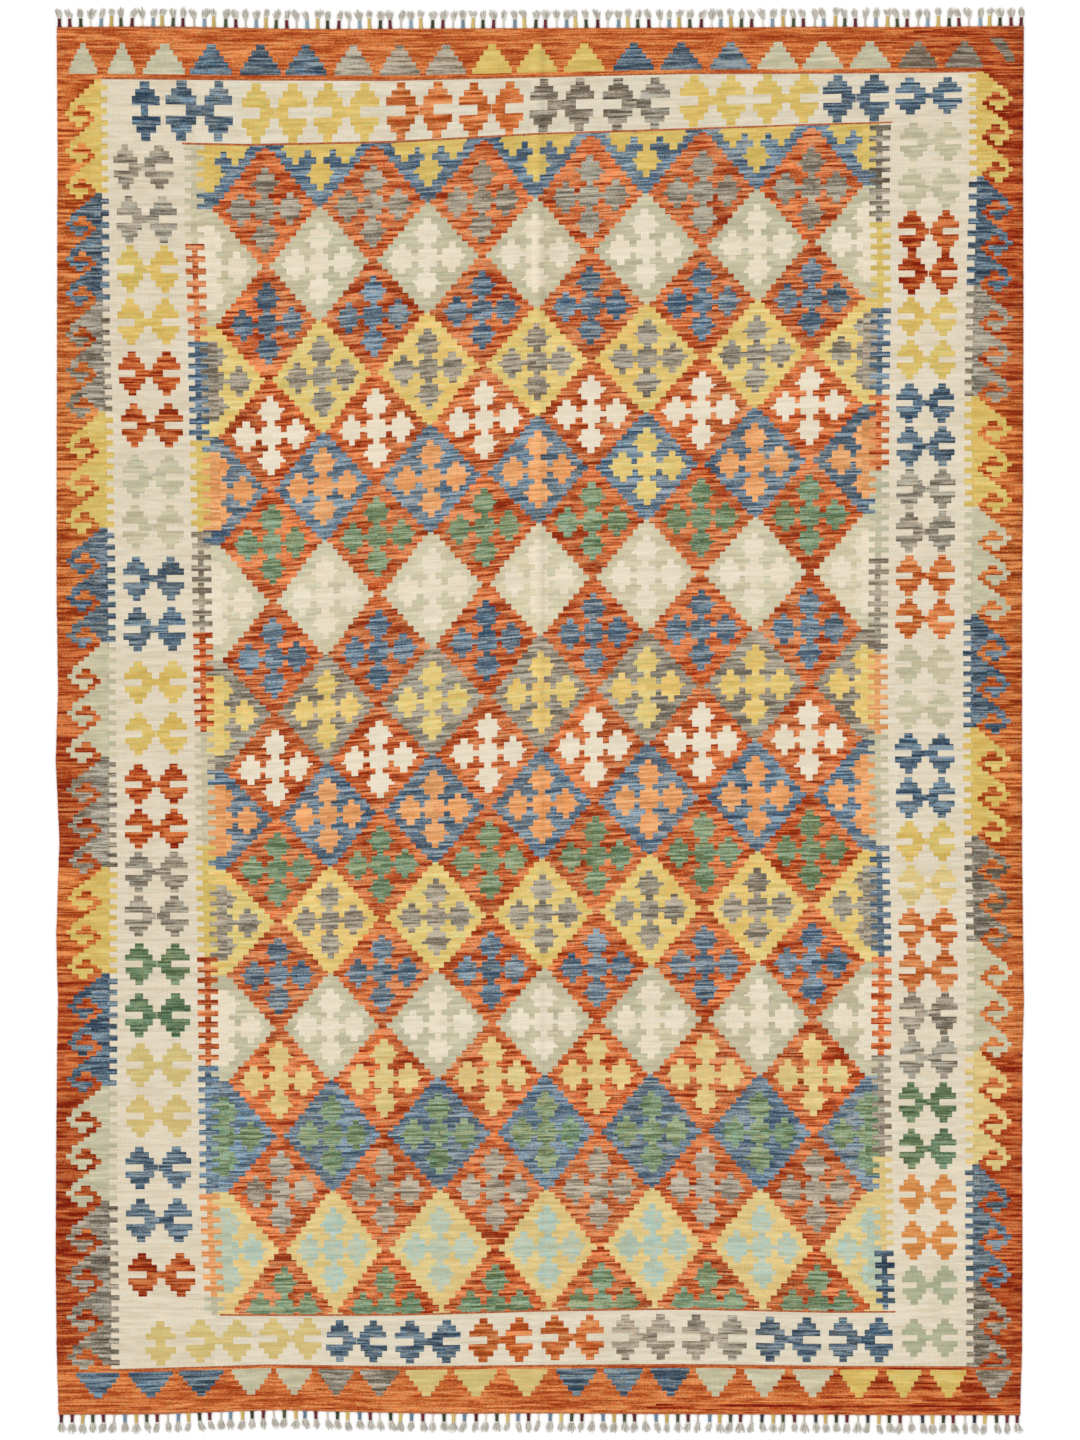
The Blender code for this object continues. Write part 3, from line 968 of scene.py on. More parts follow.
@dataclass
class HookedPairs(Motif):
    """A run of hooked motifs on the cream border: two stepped halves joined by a bar."""

    # Each motif's middle (cm) and yarn
    motifs: tuple[tuple[float, float, Yarn], ...]
    # From the middle to each half's axis, half the width of a half's nub, shoulder and foot, and the
    # height of each step
    spread: float
    halves: tuple[float, ...]
    heights: tuple[float, ...]
    wander: float = 1.0 * MM
    # How far the bar reaches into each half, as a share of half a nub's width
    bar_reach: float = 0.9

    def draw(self) -> None:
        """Chart every motif of the run."""
        nub, shoulder, foot = self.halves
        for x, y, yarn in self.motifs:
            center, middle = self.weave.charted(x, y)
            top = middle + sum(self.heights) / 2
            for side in (-1, 1):
                spans = even_spans([nub, shoulder, foot, foot, foot, shoulder, nub])
                bar = self.bar_reach * nub
                spans[3] = (bar, self.spread) if side < 0 else (-self.spread, -bar)
                steps = stack(center + side * self.spread, top, self.heights, spans)
                self.chart.lay(yarn, steps, None, self.wander)

    def draw_single(self, x: float, y: float, yarn: Yarn, waist: float) -> None:
        """Chart a lone half motif, which starts a run.

        Args:
            x: its middle, in centimetres.
            y: its middle, in centimetres.
            yarn: the yarn that it is woven in.
            waist: half the width of its middle step.
        """
        nub, shoulder, foot = self.halves
        center, middle = self.weave.charted(x, y)
        top = middle + sum(self.heights) / 2
        spans = even_spans([nub, shoulder, foot, waist, foot, shoulder, nub])
        self.chart.lay(yarn, stack(center, top, self.heights, spans), None, self.wander)


@dataclass
class Ladder(Motif):
    """The ladder between the field and a side border: a spine with rungs, in sections of yarn."""

    axis: float
    # Where it starts (cm from the middle), then each section's yarn and where the section ends
    start: float
    sections: tuple[tuple[float, Yarn], ...]
    spine_half: float = 6.2 * MM
    rung_left: float = 20 * MM
    rung_right: float = 22 * MM
    rung_pitch: float = 23.3 * MM
    wander: float = 0.8 * MM
    # Where the sections' ends were measured, on each side of the middle (cm)
    measured_at: float = 72

    def draw(self) -> None:
        """Chart the ladder, section by section."""
        x = math.copysign(self.measured_at, self.axis)
        top = self.weave.charted(x, self.start)[1]
        for end, yarn in self.sections:
            bottom = self.weave.charted(x, end)[1]
            count = max(1, round((top - bottom) / self.rung_pitch))
            height = (top - bottom) / count / 2
            spans = [(-self.rung_left, self.rung_right), (-self.spine_half, self.spine_half)] * count
            self.chart.lay(yarn, stack(self.axis, top, [height] * len(spans), spans), None, self.wander)
            top = bottom


@dataclass
class OuterBorder(Motif):
    """A side's outer border: blocks with hooked teeth towards the edge and a comb towards the field."""

    side: int
    # Where the blocks start (cm from the middle), then each block's end, yarn and number of teeth
    start: float
    blocks: tuple[tuple[float, Yarn, int], ...]
    # The dye lot of the ground beside each block
    grounds: tuple[Yarn, ...]
    comb_base: float = 105 * MM
    comb_root: float = 4 * MM
    comb_reach: float = 16 * MM
    comb_pitch: float = 23.4 * MM
    # Each row of a tooth: its share of the tooth's height, then measured from the cloth's edge (mm)
    # the hook's own yarn from and to, and where the block's yarn begins
    tooth: tuple[tuple[float, float, float, float], ...] = (
        (0.115, 0, 0, 65), (0.112, 0, 0, 54), (0.112, 0, 0, 43), (0.088, 0, 0, 32),
        (0.150, 30, 49, 68), (0.128, 20, 37, 80), (0.152, 29, 72, 89), (0.143, 43, 60, 78),
    )
    lead: Place = (88 * MM, 77 * MM)
    # How much further in the teeth stand than on the other side (mm)
    inset: float = 0.0
    # The start of a block takes this share of a tooth's height for each step, and a tooth a little
    # less than its whole height, so that a block's last tooth is never cut off
    lead_share: float = 0.13
    tooth_share: float = 0.97
    hook_width: float = 24 * MM
    # A tooth that reaches nearer the edge than this has a hook at its tip (mm)
    hooked_within: float = 45
    wander: float = 0.8 * MM
    comb_wander: float = 1.0 * MM
    # Where the blocks' ends were measured, on each side of the middle (cm)
    measured_at: float = 95

    def _span(self, near: float, far: float) -> Place:
        """Turn two distances from the cloth's edge into charted places, left one first."""
        left, right = (near, far) if self.side < 0 else (-far, -near)
        return left + self.side * HALF_WIDTH, right + self.side * HALF_WIDTH

    def draw(self) -> None:
        """Chart the ground, the blocks, their teeth and their combs."""
        ends = [self.start, *(end for end, _, _ in self.blocks)]
        levels = [self.weave.charted(self.side * self.measured_at, end)[1] for end in ends]
        left, right = self._span(0.0, self.comb_base)
        for ground, top, bottom in zip(self.grounds, levels, levels[1:]):
            self.chart.block(ground, Window(left, right, bottom, top))
        for (_, yarn, teeth), top, bottom in zip(self.blocks, levels, levels[1:]):
            self._block(yarn, top, bottom, teeth)
            self._comb(yarn, top, bottom)

    def _block(self, yarn: Yarn, top: float, bottom: float, teeth: int) -> None:
        """Lay one block's toothed edge, and the hook that hangs on each tooth.

        Args:
            yarn: the yarn it is woven in.
            top: where it starts.
            bottom: where it ends.
            teeth: how many teeth it has.
        """
        pitch = (top - bottom) / teeth
        level = top
        steps = []
        for body in self.lead:
            steps.append((level, level - self.lead_share * pitch, *self._span(body, self.comb_base)))
            level -= self.lead_share * pitch
        hooks = []
        for _ in range(teeth):
            hook = []
            for share, *distances in self.tooth:
                near, far, body = ((distance + self.inset) * MM for distance in distances)
                height = self.tooth_share * share * pitch
                steps.append((level, level - height, *self._span(body, self.comb_base)))
                if distances[1]:
                    hook.append((level, level - height, *self._span(near, far)))
                elif distances[2] < self.hooked_within:
                    hook.append((level, level - height, *self._span(body, body + self.hook_width)))
                level -= height
            hooks.append(hook)
        self.chart.lay(yarn, steps, Window(bottom=bottom), self.wander)
        for hook in hooks:
            self.chart.lay(yarn, hook, None, self.wander)

    def _comb(self, yarn: Yarn, top: float, bottom: float) -> None:
        """Lay the comb of short teeth between a block and the cream border.

        Args:
            yarn: the block's yarn.
            top: where the block starts.
            bottom: where it ends.
        """
        count = max(1, round((top - bottom) / self.comb_pitch))
        pitch = (top - bottom) / count
        span = self._span(self.comb_base - self.comb_root, self.comb_base + self.comb_reach)
        for i in range(count):
            start = top - (i + 0.5) * pitch
            self.chart.lay(yarn, [(start, start - pitch / 2, *span)], None, self.comb_wander)


@dataclass
class EndBand(Motif):
    """The orange band along one end of the rug, with its row of stepped triangles."""

    side: int
    # Where the twined line beside it lies, and how far from it the triangles start
    line: float
    base_gap: float
    # Each triangle's middle (cm), half its base (mm) and its yarn
    triangles: tuple[tuple[float, float, Yarn], ...]
    heights: tuple[float, ...]
    ground: Yarn = Yarn.BAND_ORANGE
    # Half widths from the base to the tip, as shares of half the base
    taper: tuple[float, ...] = (1.0, 0.84, 0.63, 0.42, 0.21)
    # A lone slanting leaf that fills the band's last corner: each step's left and right (cm)
    leaf: tuple[Place, ...] = ()
    leaf_top: float = 1.446
    leaf_step: float = 9.2 * MM
    # A redder lot was laid in at the right-hand corner, a few passes at a time
    red_passes: float = 6 * MM
    red_from: Place = (0.70, 0.90)
    wander: float = 1.0 * MM
    seed: int = 61

    def draw(self) -> None:
        """Chart the band's ground and triangles."""
        low, high = sorted((self.line, self.side * CLOTH_HALF_LENGTH))
        self.chart.block(self.ground, Window(bottom=low, top=high))
        rng = np.random.default_rng(self.seed + self.side)
        for number in range(int((high - low) / self.red_passes)):
            start = low + number * self.red_passes
            left = rng.uniform(*self.red_from)
            self.chart.block(Yarn.BORDER_RED, Window(left=left, bottom=start, top=start + self.red_passes))
        top = self.leaf_top
        for left, right in self.leaf:
            step = (top, top - self.leaf_step, left * CM, right * CM)
            self.chart.lay(Yarn.BROWN_GREY, [step], None, self.wander)
            top -= self.leaf_step
        base = self.line + self.side * self.base_gap
        for x, half, yarn in self.triangles:
            center = self.weave.charted(x, base / CM)[0]
            top, heights = base, self.heights
            spans = even_spans([share * half * MM for share in self.taper])
            if self.side > 0:
                top, heights, spans = base + sum(heights), heights[::-1], spans[::-1]
            self.chart.lay(yarn, stack(center, top, heights, spans), None, self.wander)


@dataclass
class Cloth:
    """The woven sheet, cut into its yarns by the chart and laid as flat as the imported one."""

    weave: WeaveMap
    name: str = "kilim_weave"
    edge_pitch: float = 6 * MM
    edge_wander: float = 0.5 * MM
    longest_edge: float = 70 * MM
    point_pitch: float = 52 * MM
    # How far out the loose points go, and how far they keep away from the crease's own points
    points_across: float = 0.99
    points_along: float = 1.455
    points_off_crease: float = 10 * MM
    crease_from: float = -0.055
    crease_pitch: float = 9 * MM
    crease_points: int = 13
    edge_insets: tuple[float, ...] = (1.0 * MM, 2.4 * MM, 4.5 * MM)
    rounding: float = 4 * MM
    low_rounding: float = 1.6 * MM
    edge_top: float = 2.0 * MM
    edge_bottom: float = 0.5 * MM
    # What the baked picture shows beyond the body on each side
    margin: float = 5 * MM

    @staticmethod
    def crease_lift(x: Array, y: Array) -> Array:
        """Find how far the old lengthwise fold lifts the cloth off the floor.

        Args:
            x: places across the rug.
            y: places along it.

        Returns:
            The lift at each place.
        """
        round_back = np.cos(np.pi * x / (2 * CREASE_HALF_WIDTH)) ** 2
        across = np.where(np.abs(x) < CREASE_HALF_WIDTH, round_back, 0.0)
        share = np.clip((CLOTH_HALF_LENGTH - np.abs(y)) / CREASE_END_FADE, 0.0, 1.0)
        return CREASE_LIFT * across * share * share * (3 - 2 * share)

    def heights(self, x: Array, y: Array) -> tuple[Array, Array]:
        """Find the cloth's upper and lower face.

        Args:
            x: places across the rug.
            y: places along it.

        Returns:
            The upper and the lower z at each place.
        """
        skew = COCKLE_SKEW * np.sin(math.tau * y / COCKLE_LENGTH)
        cockle = COCKLE_HEIGHT * np.sin(math.tau * x / COCKLE_WIDTH + skew)
        cockle = cockle * np.cos(math.tau * y / COCKLE_LENGTH + COCKLE_DRIFT * x)
        lift = self.crease_lift(x, y)
        inside = np.minimum(x - self.weave.selvedge_x(y, -1), self.weave.selvedge_x(y, 1) - x)
        share = np.clip(inside / self.rounding, 0.0, 1.0)
        round_top = np.sqrt(1.0 - (1.0 - share) ** 2)
        top = self.edge_top + (CLOTH_THICKNESS + cockle - self.edge_top) * round_top
        low_share = np.clip(inside / self.low_rounding, 0.0, 1.0)
        return top + lift, self.edge_bottom * (1.0 - low_share) ** 2 + lift

    def _outline(self, rng: random.Random) -> list[Place]:
        """Go round the cloth's edge on the chart, a little uneven where the weft turns back.

        Args:
            rng: what decides how uneven.

        Returns:
            The edge's points, in order.
        """
        count = round(2 * CLOTH_HALF_LENGTH / self.edge_pitch)
        rises = [CLOTH_HALF_LENGTH * (2 * i / count - 1) for i in range(count + 1)]
        across = round(BODY_WIDTH / (2 * self.edge_pitch))
        runs = [HALF_WIDTH * (2 * i / across - 1) for i in range(1, across)]
        stray = self.edge_wander
        right = [(HALF_WIDTH + rng.uniform(-stray, stray), v) for v in rises]
        left = [(-HALF_WIDTH + rng.uniform(-stray, stray), v) for v in rises[::-1]]
        top = [(u, CLOTH_HALF_LENGTH) for u in runs[::-1]]
        bottom = [(u, -CLOTH_HALF_LENGTH) for u in runs]
        return right + top + left + bottom

    def _loose_points(self) -> list[Place]:
        """Scatter points between the motifs, on which the cloth takes its crease and rounded edges.

        Returns:
            Their charted places.
        """
        near = [self.crease_from + i * self.crease_pitch for i in range(self.crease_points)]
        low, high = near[0] - self.points_off_crease, near[-1] + self.points_off_crease
        columns = np.arange(-self.points_across, self.points_across, self.point_pitch)
        far = [u for u in columns if not low < u < high]
        edges = [side * (HALF_WIDTH - inset) for side in (-1, 1) for inset in self.edge_insets]
        levels = np.arange(-self.points_along, self.points_along + 5 * MM, self.point_pitch)
        return [(float(u), float(v)) for u in (*near, *far, *edges) for v in levels]

    def _cut(self, chart: Chart) -> tuple[Array, Array, Array]:
        """Cut the cloth along every patch.

        Args:
            chart: the finished chart.

        Returns:
            The charted points, the triangles, and the patch that shows on each triangle.
        """
        points: list[Place] = []
        areas: list[list[int]] = []
        for outline in (self._outline(chart.rng), *(patch.outline for patch in chart.patches)):
            ring: list[Place] = []
            for (u0, v0), (u1, v1) in zip(outline, outline[1:] + outline[:1]):
                du, dv = u1 - u0, v1 - v0
                pieces = max(1, math.ceil(math.hypot(du, dv) / self.longest_edge))
                ring += [(u0 + du * i / pieces, v0 + dv * i / pieces) for i in range(pieces)]
            areas.append(list(range(len(points), len(points) + len(ring))))
            points += ring
        points += self._loose_points()
        spots = [Vector((round(u, 4), round(v, 4))) for u, v in points]
        verts, _, faces, _, _, owners = delaunay_2d_cdt(spots, [], areas, 1, 1e-6, True)
        inside = [(face, owner) for face, owner in zip(faces, owners) if 0 in owner and len(face) == 3]
        shown = np.array([max(owner) - 1 for _, owner in inside])
        return np.array([tuple(v) for v in verts]), np.array([face for face, _ in inside]), shown

    def build(self, chart: Chart) -> Object:
        """Make the cloth's mesh, both faces and the edge between them.

        Args:
            chart: the finished chart.

        Returns:
            The cloth, with one material for each yarn.
        """
        spots, triangles, shown = self._cut(chart)
        corners = spots[triangles]
        turn = np.cross(corners[:, 1] - corners[:, 0], corners[:, 2] - corners[:, 0])
        triangles[turn < 0] = triangles[turn < 0][:, ::-1]
        x, y = self.weave.place(spots[:, 0], spots[:, 1])
        top, bottom = self.heights(x, y)
        verts = np.concatenate([np.column_stack([x, y, top]), np.column_stack([x, y, bottom])])
        walls, owners = self._walls(triangles, len(spots))
        faces = np.concatenate([triangles, triangles[:, ::-1] + len(spots), walls])
        patches = np.concatenate([shown, shown, shown[owners]])
        mesh = bpy.data.meshes.new(self.name)
        mesh.from_pydata(verts.tolist(), [], faces.tolist())
        self._dress(mesh, chart, np.concatenate([spots, spots]), patches)
        self._lay_out(mesh, verts, faces)
        return placed(self.name, mesh)

    @staticmethod
    def _walls(triangles: Array, count: int) -> tuple[Array, Array]:
        """Join the upper and the lower face all round the cloth's edge.

        Args:
            triangles: the upper face's triangles.
            count: how many points it has; the lower face's points follow them.

        Returns:
            The walls' triangles, and the upper triangle that each belongs to.
        """
        sides = np.concatenate([triangles[:, [0, 1]], triangles[:, [1, 2]], triangles[:, [2, 0]]])
        owner = np.tile(np.arange(len(triangles)), 3)
        keys = {(int(a), int(b)) for a, b in sides}
        rim = [i for i, (a, b) in enumerate(sides) if (int(b), int(a)) not in keys]
        walls = []
        for a, b in sides[rim]:
            walls += [(b, a, a + count), (b, a + count, b + count)]
        return np.array(walls), np.repeat(owner[rim], 2)

    @staticmethod
    def _dress(mesh: Mesh, chart: Chart, spots: Array, patches: Array) -> None:
        """Give the mesh its yarns, dye lots and charted places.

        Args:
            mesh: the cloth's mesh.
            chart: the finished chart.
            spots: each point's charted place.
            patches: each face's patch.
        """
        for yarn in Yarn:
            mesh.materials.append(yarn.value.material())
        slots = {yarn: slot for slot, yarn in enumerate(Yarn)}
        yarns = np.array([slots[patch.yarn] for patch in chart.patches] + [slots[Yarn.BORDER_ORANGE]])
        lots = np.array([patch.lot for patch in chart.patches] + [0.0])
        mesh.polygons.foreach_set("material_index", yarns[patches].astype(np.int32))
        mesh.polygons.foreach_set("use_smooth", np.ones(len(patches), dtype=bool))
        lot = mesh.attributes.new("lot", "FLOAT", "FACE")
        lot.data.foreach_set("value", lots[patches].astype(np.float32))
        chart_places = mesh.attributes.new("chart", "FLOAT_VECTOR", "POINT")
        flat = np.column_stack([spots, np.zeros(len(spots))]).astype(np.float32)
        chart_places.data.foreach_set("vector", flat.ravel())

    def _lay_out(self, mesh: Mesh, verts: Array, faces: Array) -> None:
        """Lay the cloth out flat for the baked picture.

        Args:
            mesh: the cloth's mesh.
            verts: its points.
            faces: its triangles.
        """
        layout = mesh.uv_layers.new(name="OFBake")
        across = (verts[:, 0] + HALF_WIDTH + self.margin) / (BODY_WIDTH + 2 * self.margin)
        along = (verts[:, 1] + HALF_LENGTH + self.margin) / (BODY_LENGTH + 2 * self.margin)
        uv = np.column_stack([across, along])[faces.ravel()].astype(np.float32)
        layout.data.foreach_set("uv", uv.ravel())


@dataclass
class TwinedLines:
    """Rows of weft twining, which stand up as slanting stitches on both sides of the end borders."""

    weave: WeaveMap
    cloth: Cloth
    name: str = "twined_lines"
    # First and last x of each line (m), and the charted weft that it follows (m)
    lines: tuple[tuple[float, float, float], ...] = (
        (-0.918, 0.920, FIRST_LINE), (-0.740, 0.747, FIELD_TOP),
        (-0.703, 0.744, FIELD_BOTTOM), (-0.943, 0.914, LAST_LINE),
    )
    pitch: float = 4.4 * MM
    length: float = 6.4 * MM
    width: float = 2.9 * MM
    height: float = 1.3 * MM
    slant: float = 0.62
    wool: TwistedYarn = TwistedYarn("wool_rust_twining", "#86300E", "#E08C58")
    # A stitch swells from a narrower foot and closes on top: the radius and height of each ring
    rings: tuple[tuple[float, float], ...] = ((1.0, -0.4), (0.92, 0.35), (0.55, 0.85))
    corners: int = 6
    rise: float = 0.6
    unevenness: float = 0.12
    seed: int = 31

    def _stitch(self) -> tuple[list[Point], list[tuple[int, ...]]]:
        """Shape one stitch: rings of corners and a tip.

        Returns:
            Its points, one unit long, wide and high, and its faces.
        """
        count = self.corners
        turns = [math.tau * i / count for i in range(count)]
        points = [(r * math.cos(a) / 2, r * math.sin(a) / 2, z) for r, z in self.rings for a in turns]
        faces = []
        for base in range(0, count * (len(self.rings) - 1), count):
            for i in range(count):
                a, b = base + i, base + (i + 1) % count
                faces.append((a, b, b + count, a + count))
        last = count * (len(self.rings) - 1)
        faces += [(last + i, last + (i + 1) % count, last + count) for i in range(count)]
        return [*points, (0.0, 0.0, 1.0)], faces

    def build(self) -> Object:
        """Make every stitch of the four lines.

        Returns:
            The stitches, as one mesh.
        """
        rng = random.Random(self.seed)
        shape, skin = self._stitch()
        verts, faces, lots = [], [], []
        for first, last, weft in self.lines:
            count = round((last - first) / self.pitch)
            u = np.array([first + (i + 0.5) * self.pitch for i in range(count)])
            x, y = self.weave.place(u, np.full(count, weft))
            top, _ = self.cloth.heights(x, y)
            for i in range(count):
                turn = self.slant + rng.uniform(-self.unevenness, self.unevenness)
                cosine, sine = math.cos(turn), math.sin(turn)
                base = len(verts)
                for sx, sy, sz in shape:
                    a, b = sx * self.length, sy * self.width
                    place = (x[i] + a * cosine - b * sine, y[i] + a * sine + b * cosine)
                    verts.append((*place, top[i] + sz * self.height * self.rise))
                faces += [tuple(base + k for k in face) for face in skin]
                lots += [rng.uniform(0.0, SHADES)] * len(skin)
        return finished_mesh(self.name, verts, faces, [0] * len(faces), lots, [self.wool])


def finished_mesh(
    name: str,
    verts: list[Point],
    faces: list[tuple[int, ...]],
    slots: list[int],
    lots: list[float],
    yarns: Sequence[TwistedYarn],
) -> Object:
    """Turn point and face lists into a smooth object of several yarns.

    Args:
        name: the object's name.
        verts: the points.
        faces: the faces, as point numbers.
        slots: the yarn of each face.
        lots: the shade number of each face.
        yarns: the yarns, in slot order.

    Returns:
        The object, linked to the scene.
    """
    mesh = bpy.data.meshes.new(name)
    mesh.from_pydata(verts, [], faces)
    for yarn in yarns:
        mesh.materials.append(yarn.material())
    mesh.polygons.foreach_set("material_index", np.array(slots, dtype=np.int32))
    mesh.polygons.foreach_set("use_smooth", np.ones(len(faces), dtype=bool))
    shade = mesh.attributes.new("lot", "FLOAT", "FACE")
    shade.data.foreach_set("value", np.array(lots, dtype=np.float32))
    return placed(name, mesh)


class TasselYarn(Enum):
    """What a fringe is made of and its necks are wrapped in, in the order of its mesh's slots."""

    COTTON = TwistedYarn("cotton_warp_ends", "#9A907F", "#F1ECE1")
    END_CORD = TwistedYarn("wool_end_cord", "#A54C1E", "#D98A5C")
    MAROON = TwistedYarn("yarn_wrap_maroon", "#45141C", "#80343E")
    GREEN = TwistedYarn("yarn_wrap_green", "#26311A", "#525F3C")
    LIGHT_BLUE = TwistedYarn("yarn_wrap_light_blue", "#5F7886", "#9CB6C4")
    GOLD = TwistedYarn("yarn_wrap_gold", "#BC9A46", "#E6CC80")
    STEEL_BLUE = TwistedYarn("yarn_wrap_steel_blue", "#4A6880", "#86A2B8")
    NAVY = TwistedYarn("yarn_wrap_navy", "#161B22", "#3C4652")


@dataclass(frozen=True)
class Tassel:
    """One tassel: its number, its root in the end cord, how far it leans, and how long it is."""

    index: int
    side: int
    x: float
    y: float
    lean: float
    length: float
    neck: float
    # How deep in the cord it starts
    depth: float = 2.5 * MM

    def at(self, reach: float) -> Place:
        """Find where the tassel's middle lies at a distance from its root."""
        return self.x + self.lean * reach / FRINGE_LENGTH, self.y + self.side * (reach - self.depth)


@dataclass
class Fringe:
    """One end's bound warp ends and its tassels: a wrapped neck, a knot and a frayed tuft each."""

    weave: WeaveMap
    name: str
    side: int
    count: int
    seed: int
    bare_offset: int
    # The tassels' yarns in order: how many times each run of them comes
    yarn_runs: tuple[tuple[int, tuple[TasselYarn, ...]], ...]
    strip_margin: float = 6 * MM
    strip_height: float = 3.3 * MM
    neck_length: float = 19.5 * MM
    # How much further the gold yarn is wrapped
    gold_extra: float = 4.5 * MM
    neck_width: float = 6.6 * MM
    neck_height: float = 4.0 * MM
    bare_neck_width: float = 3.2 * MM
    knot_length: float = 3 * MM
    knot_width: float = 7.8 * MM
    knot_height: float = 4.8 * MM
    head_width: float = 23 * MM
    head_height: float = 2.6 * MM
    jitter: float = 1.6 * MM
    lean: float = 2.2 * MM
    length_spread: float = 3 * MM
    bare_period: int = 5
    strands: int = 26
    # How far a tuft leans sideways for its length, and how much it may close again at its end
    tuft_tilt: float = 0.28
    tuft_roundness: float = 0.45
    strand_rings: int = 6
    wrap_pitch: float = 1.7 * MM
    # How far the end cord is drawn out at a tassel, and how wide the peak is
    peak: float = 1.5 * MM
    peak_width: float = 4.5 * MM
    # How far every other wrap of the end cord stands out, and how much that varies (mm)
    wrap_depth: float = 0.25 * MM
    wrap_stray: float = 0.1
    # A neck is this much wider where it leaves the cloth, and a bare one is two plies in a twist
    flare: float = 0.45
    twist: float = 0.18
    wrapped_rings: int = 29
    bare_rings: int = 19
    # The least and the most of a tuft's width and of its strands' length and level, as shares
    splay: Place = (0.6, 1.05)
    strand_reach: Place = (0.6, 1.02)
    strand_level: Place = (0.1, 0.85)
    # The least and the most of a strand's thickness, wave and curl (mm)
    strand_width: Place = (0.9, 1.5)
    strand_wave: Place = (0.2, 0.8)
    strand_curl: Place = (-2.2, 2.2)
    # The rings of a knot: how far along it each lies, and its size
    knot_rings: tuple[Place, ...] = (
        (0.0, 0.55), (0.2, 0.9), (0.45, 1.0), (0.7, 0.93), (0.9, 0.75), (1.0, 0.5),
    )
    verts: list[Point] = field(default_factory=list)
    faces: list[tuple[int, ...]] = field(default_factory=list)
    slots: list[int] = field(default_factory=list)
    lots: list[float] = field(default_factory=list)

    def _edges(self) -> Place:
        """Find the strip's left and right end."""
        end = np.array([self.side * HALF_LENGTH])
        return float(self.weave.selvedge_x(end, -1)[0]), float(self.weave.selvedge_x(end, 1)[0])

    def _places(self, rng: random.Random) -> list[float]:
        """Find the x of each tassel's root.

        Args:
            rng: how they stray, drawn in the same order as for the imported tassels.

        Returns:
            The roots' x, from left to right.
        """
        left, right = self._edges()
        first = left + self.strip_margin
        step = (right - left - 2 * self.strip_margin) / (self.count - 1)
        places = [first + i * step + rng.uniform(-self.jitter, self.jitter) for i in range(self.count)]
        places[0], places[-1] = first, right - self.strip_margin
        return places

    def _yarns(self) -> list[TasselYarn]:
        """Find the yarn that each tassel's neck is wrapped in, from left to right."""
        order = [yarn for times, run in self.yarn_runs for yarn in run * times]
        return [*order[: self.count - 1], TasselYarn.MAROON]

    def _is_bare(self, index: int) -> bool:
        """Tell whether a tassel keeps its bare, thinner warp ends."""
        return 1 < index < self.count - 2 and (index - self.bare_offset) % self.bare_period == 0

    def _tube(self, rings: Sequence[Sequence[Point]], yarn: TasselYarn, lots: Sequence[float]) -> None:
        """Skin a run of rings that all have the same number of points, and close both its ends.

        Args:
            rings: the rings, in order.
            yarn: what the tube is made of.
            lots: the shade number of each face, or of all of them where there is only one.
        """
        base, size = len(self.verts), len(rings[0])
        for ring in rings:
            self.verts += ring
        made = []
        for level in range(len(rings) - 1):
            for i in range(size):
                a = base + level * size + i
                b = base + level * size + (i + 1) % size
                made.append((a, b, b + size, a + size))
        made.append(tuple(base + i for i in range(size))[::-1])
        made.append(tuple(base + (len(rings) - 1) * size + i for i in range(size)))
        if self.side < 0:
            made = [face[::-1] for face in made]
        self.faces += made
        self.slots += [list(TasselYarn).index(yarn)] * len(made)
        self.lots += lots if len(lots) == len(made) else list(lots) * len(made)

    @staticmethod
    def _ring(
        center: Place, width: float, height: float, sides: int = 8, low: float = 0.0, turn: float = 0.0
    ) -> list[Point]:
        """Make one flattened ring that stands across the tassel.

        Args:
            center: its middle's x, and its y.
            width: its width.
            height: its height.
            sides: how many points it has.
            low: its lowest z.
            turn: the angle of its first point.

        Returns:
            The ring's points.
        """
        ring = []
        for i in range(sides):
            angle = turn + math.tau * i / sides
            x = center[0] - width / 2 * math.cos(angle)
            ring.append((x, center[1], low + height / 2 * (1 + math.sin(angle))))
        return ring

    def _strip(self, places: list[float], rng: random.Random) -> None:
        """Bind the warp ends: a low ridge of slanting wraps, drawn out a little at each tassel.

        Args:
            places: the x of each tassel's root.
            rng: how the wraps differ.
        """
        left, right = self._edges()
        count = round((right - left) / self.wrap_pitch)
        rings = []
        roots = np.array(places)
        for i in range(count + 1):
            x = left + (right - left) * i / count
            end = float(self.weave.end_y(np.array([x]), self.side)[0])
            gap = float(np.min(np.abs(roots - x)))
            peak = self.peak * math.exp(-((gap / self.peak_width) ** 2))
            wrap = self.wrap_depth * (1 if i % 2 else -1)
            wrap += rng.uniform(-self.wrap_stray, self.wrap_stray) * MM
            reach = STRIP_GAP + STRIP_WIDTH - 0.9 * MM + peak + wrap
            high = self.strip_height + wrap
            profile = (
                (-STRIP_GAP, 0.0), (-STRIP_GAP, 0.92 * high), (0.35 * reach, high),
                (0.8 * reach, 0.8 * high), (reach, 0.4 * high), (0.95 * reach, 0.0),
            )
            rings.append([(x, end + self.side * out, z) for out, z in profile])
        # The shade changes from wrap to wrap
        size = len(rings[0])
        lots = [lot for _ in rings[1:] for lot in [rng.uniform(0.0, SHADES)] * size]
        self._tube(rings, TasselYarn.END_CORD, [*lots, 3.0, 3.0])

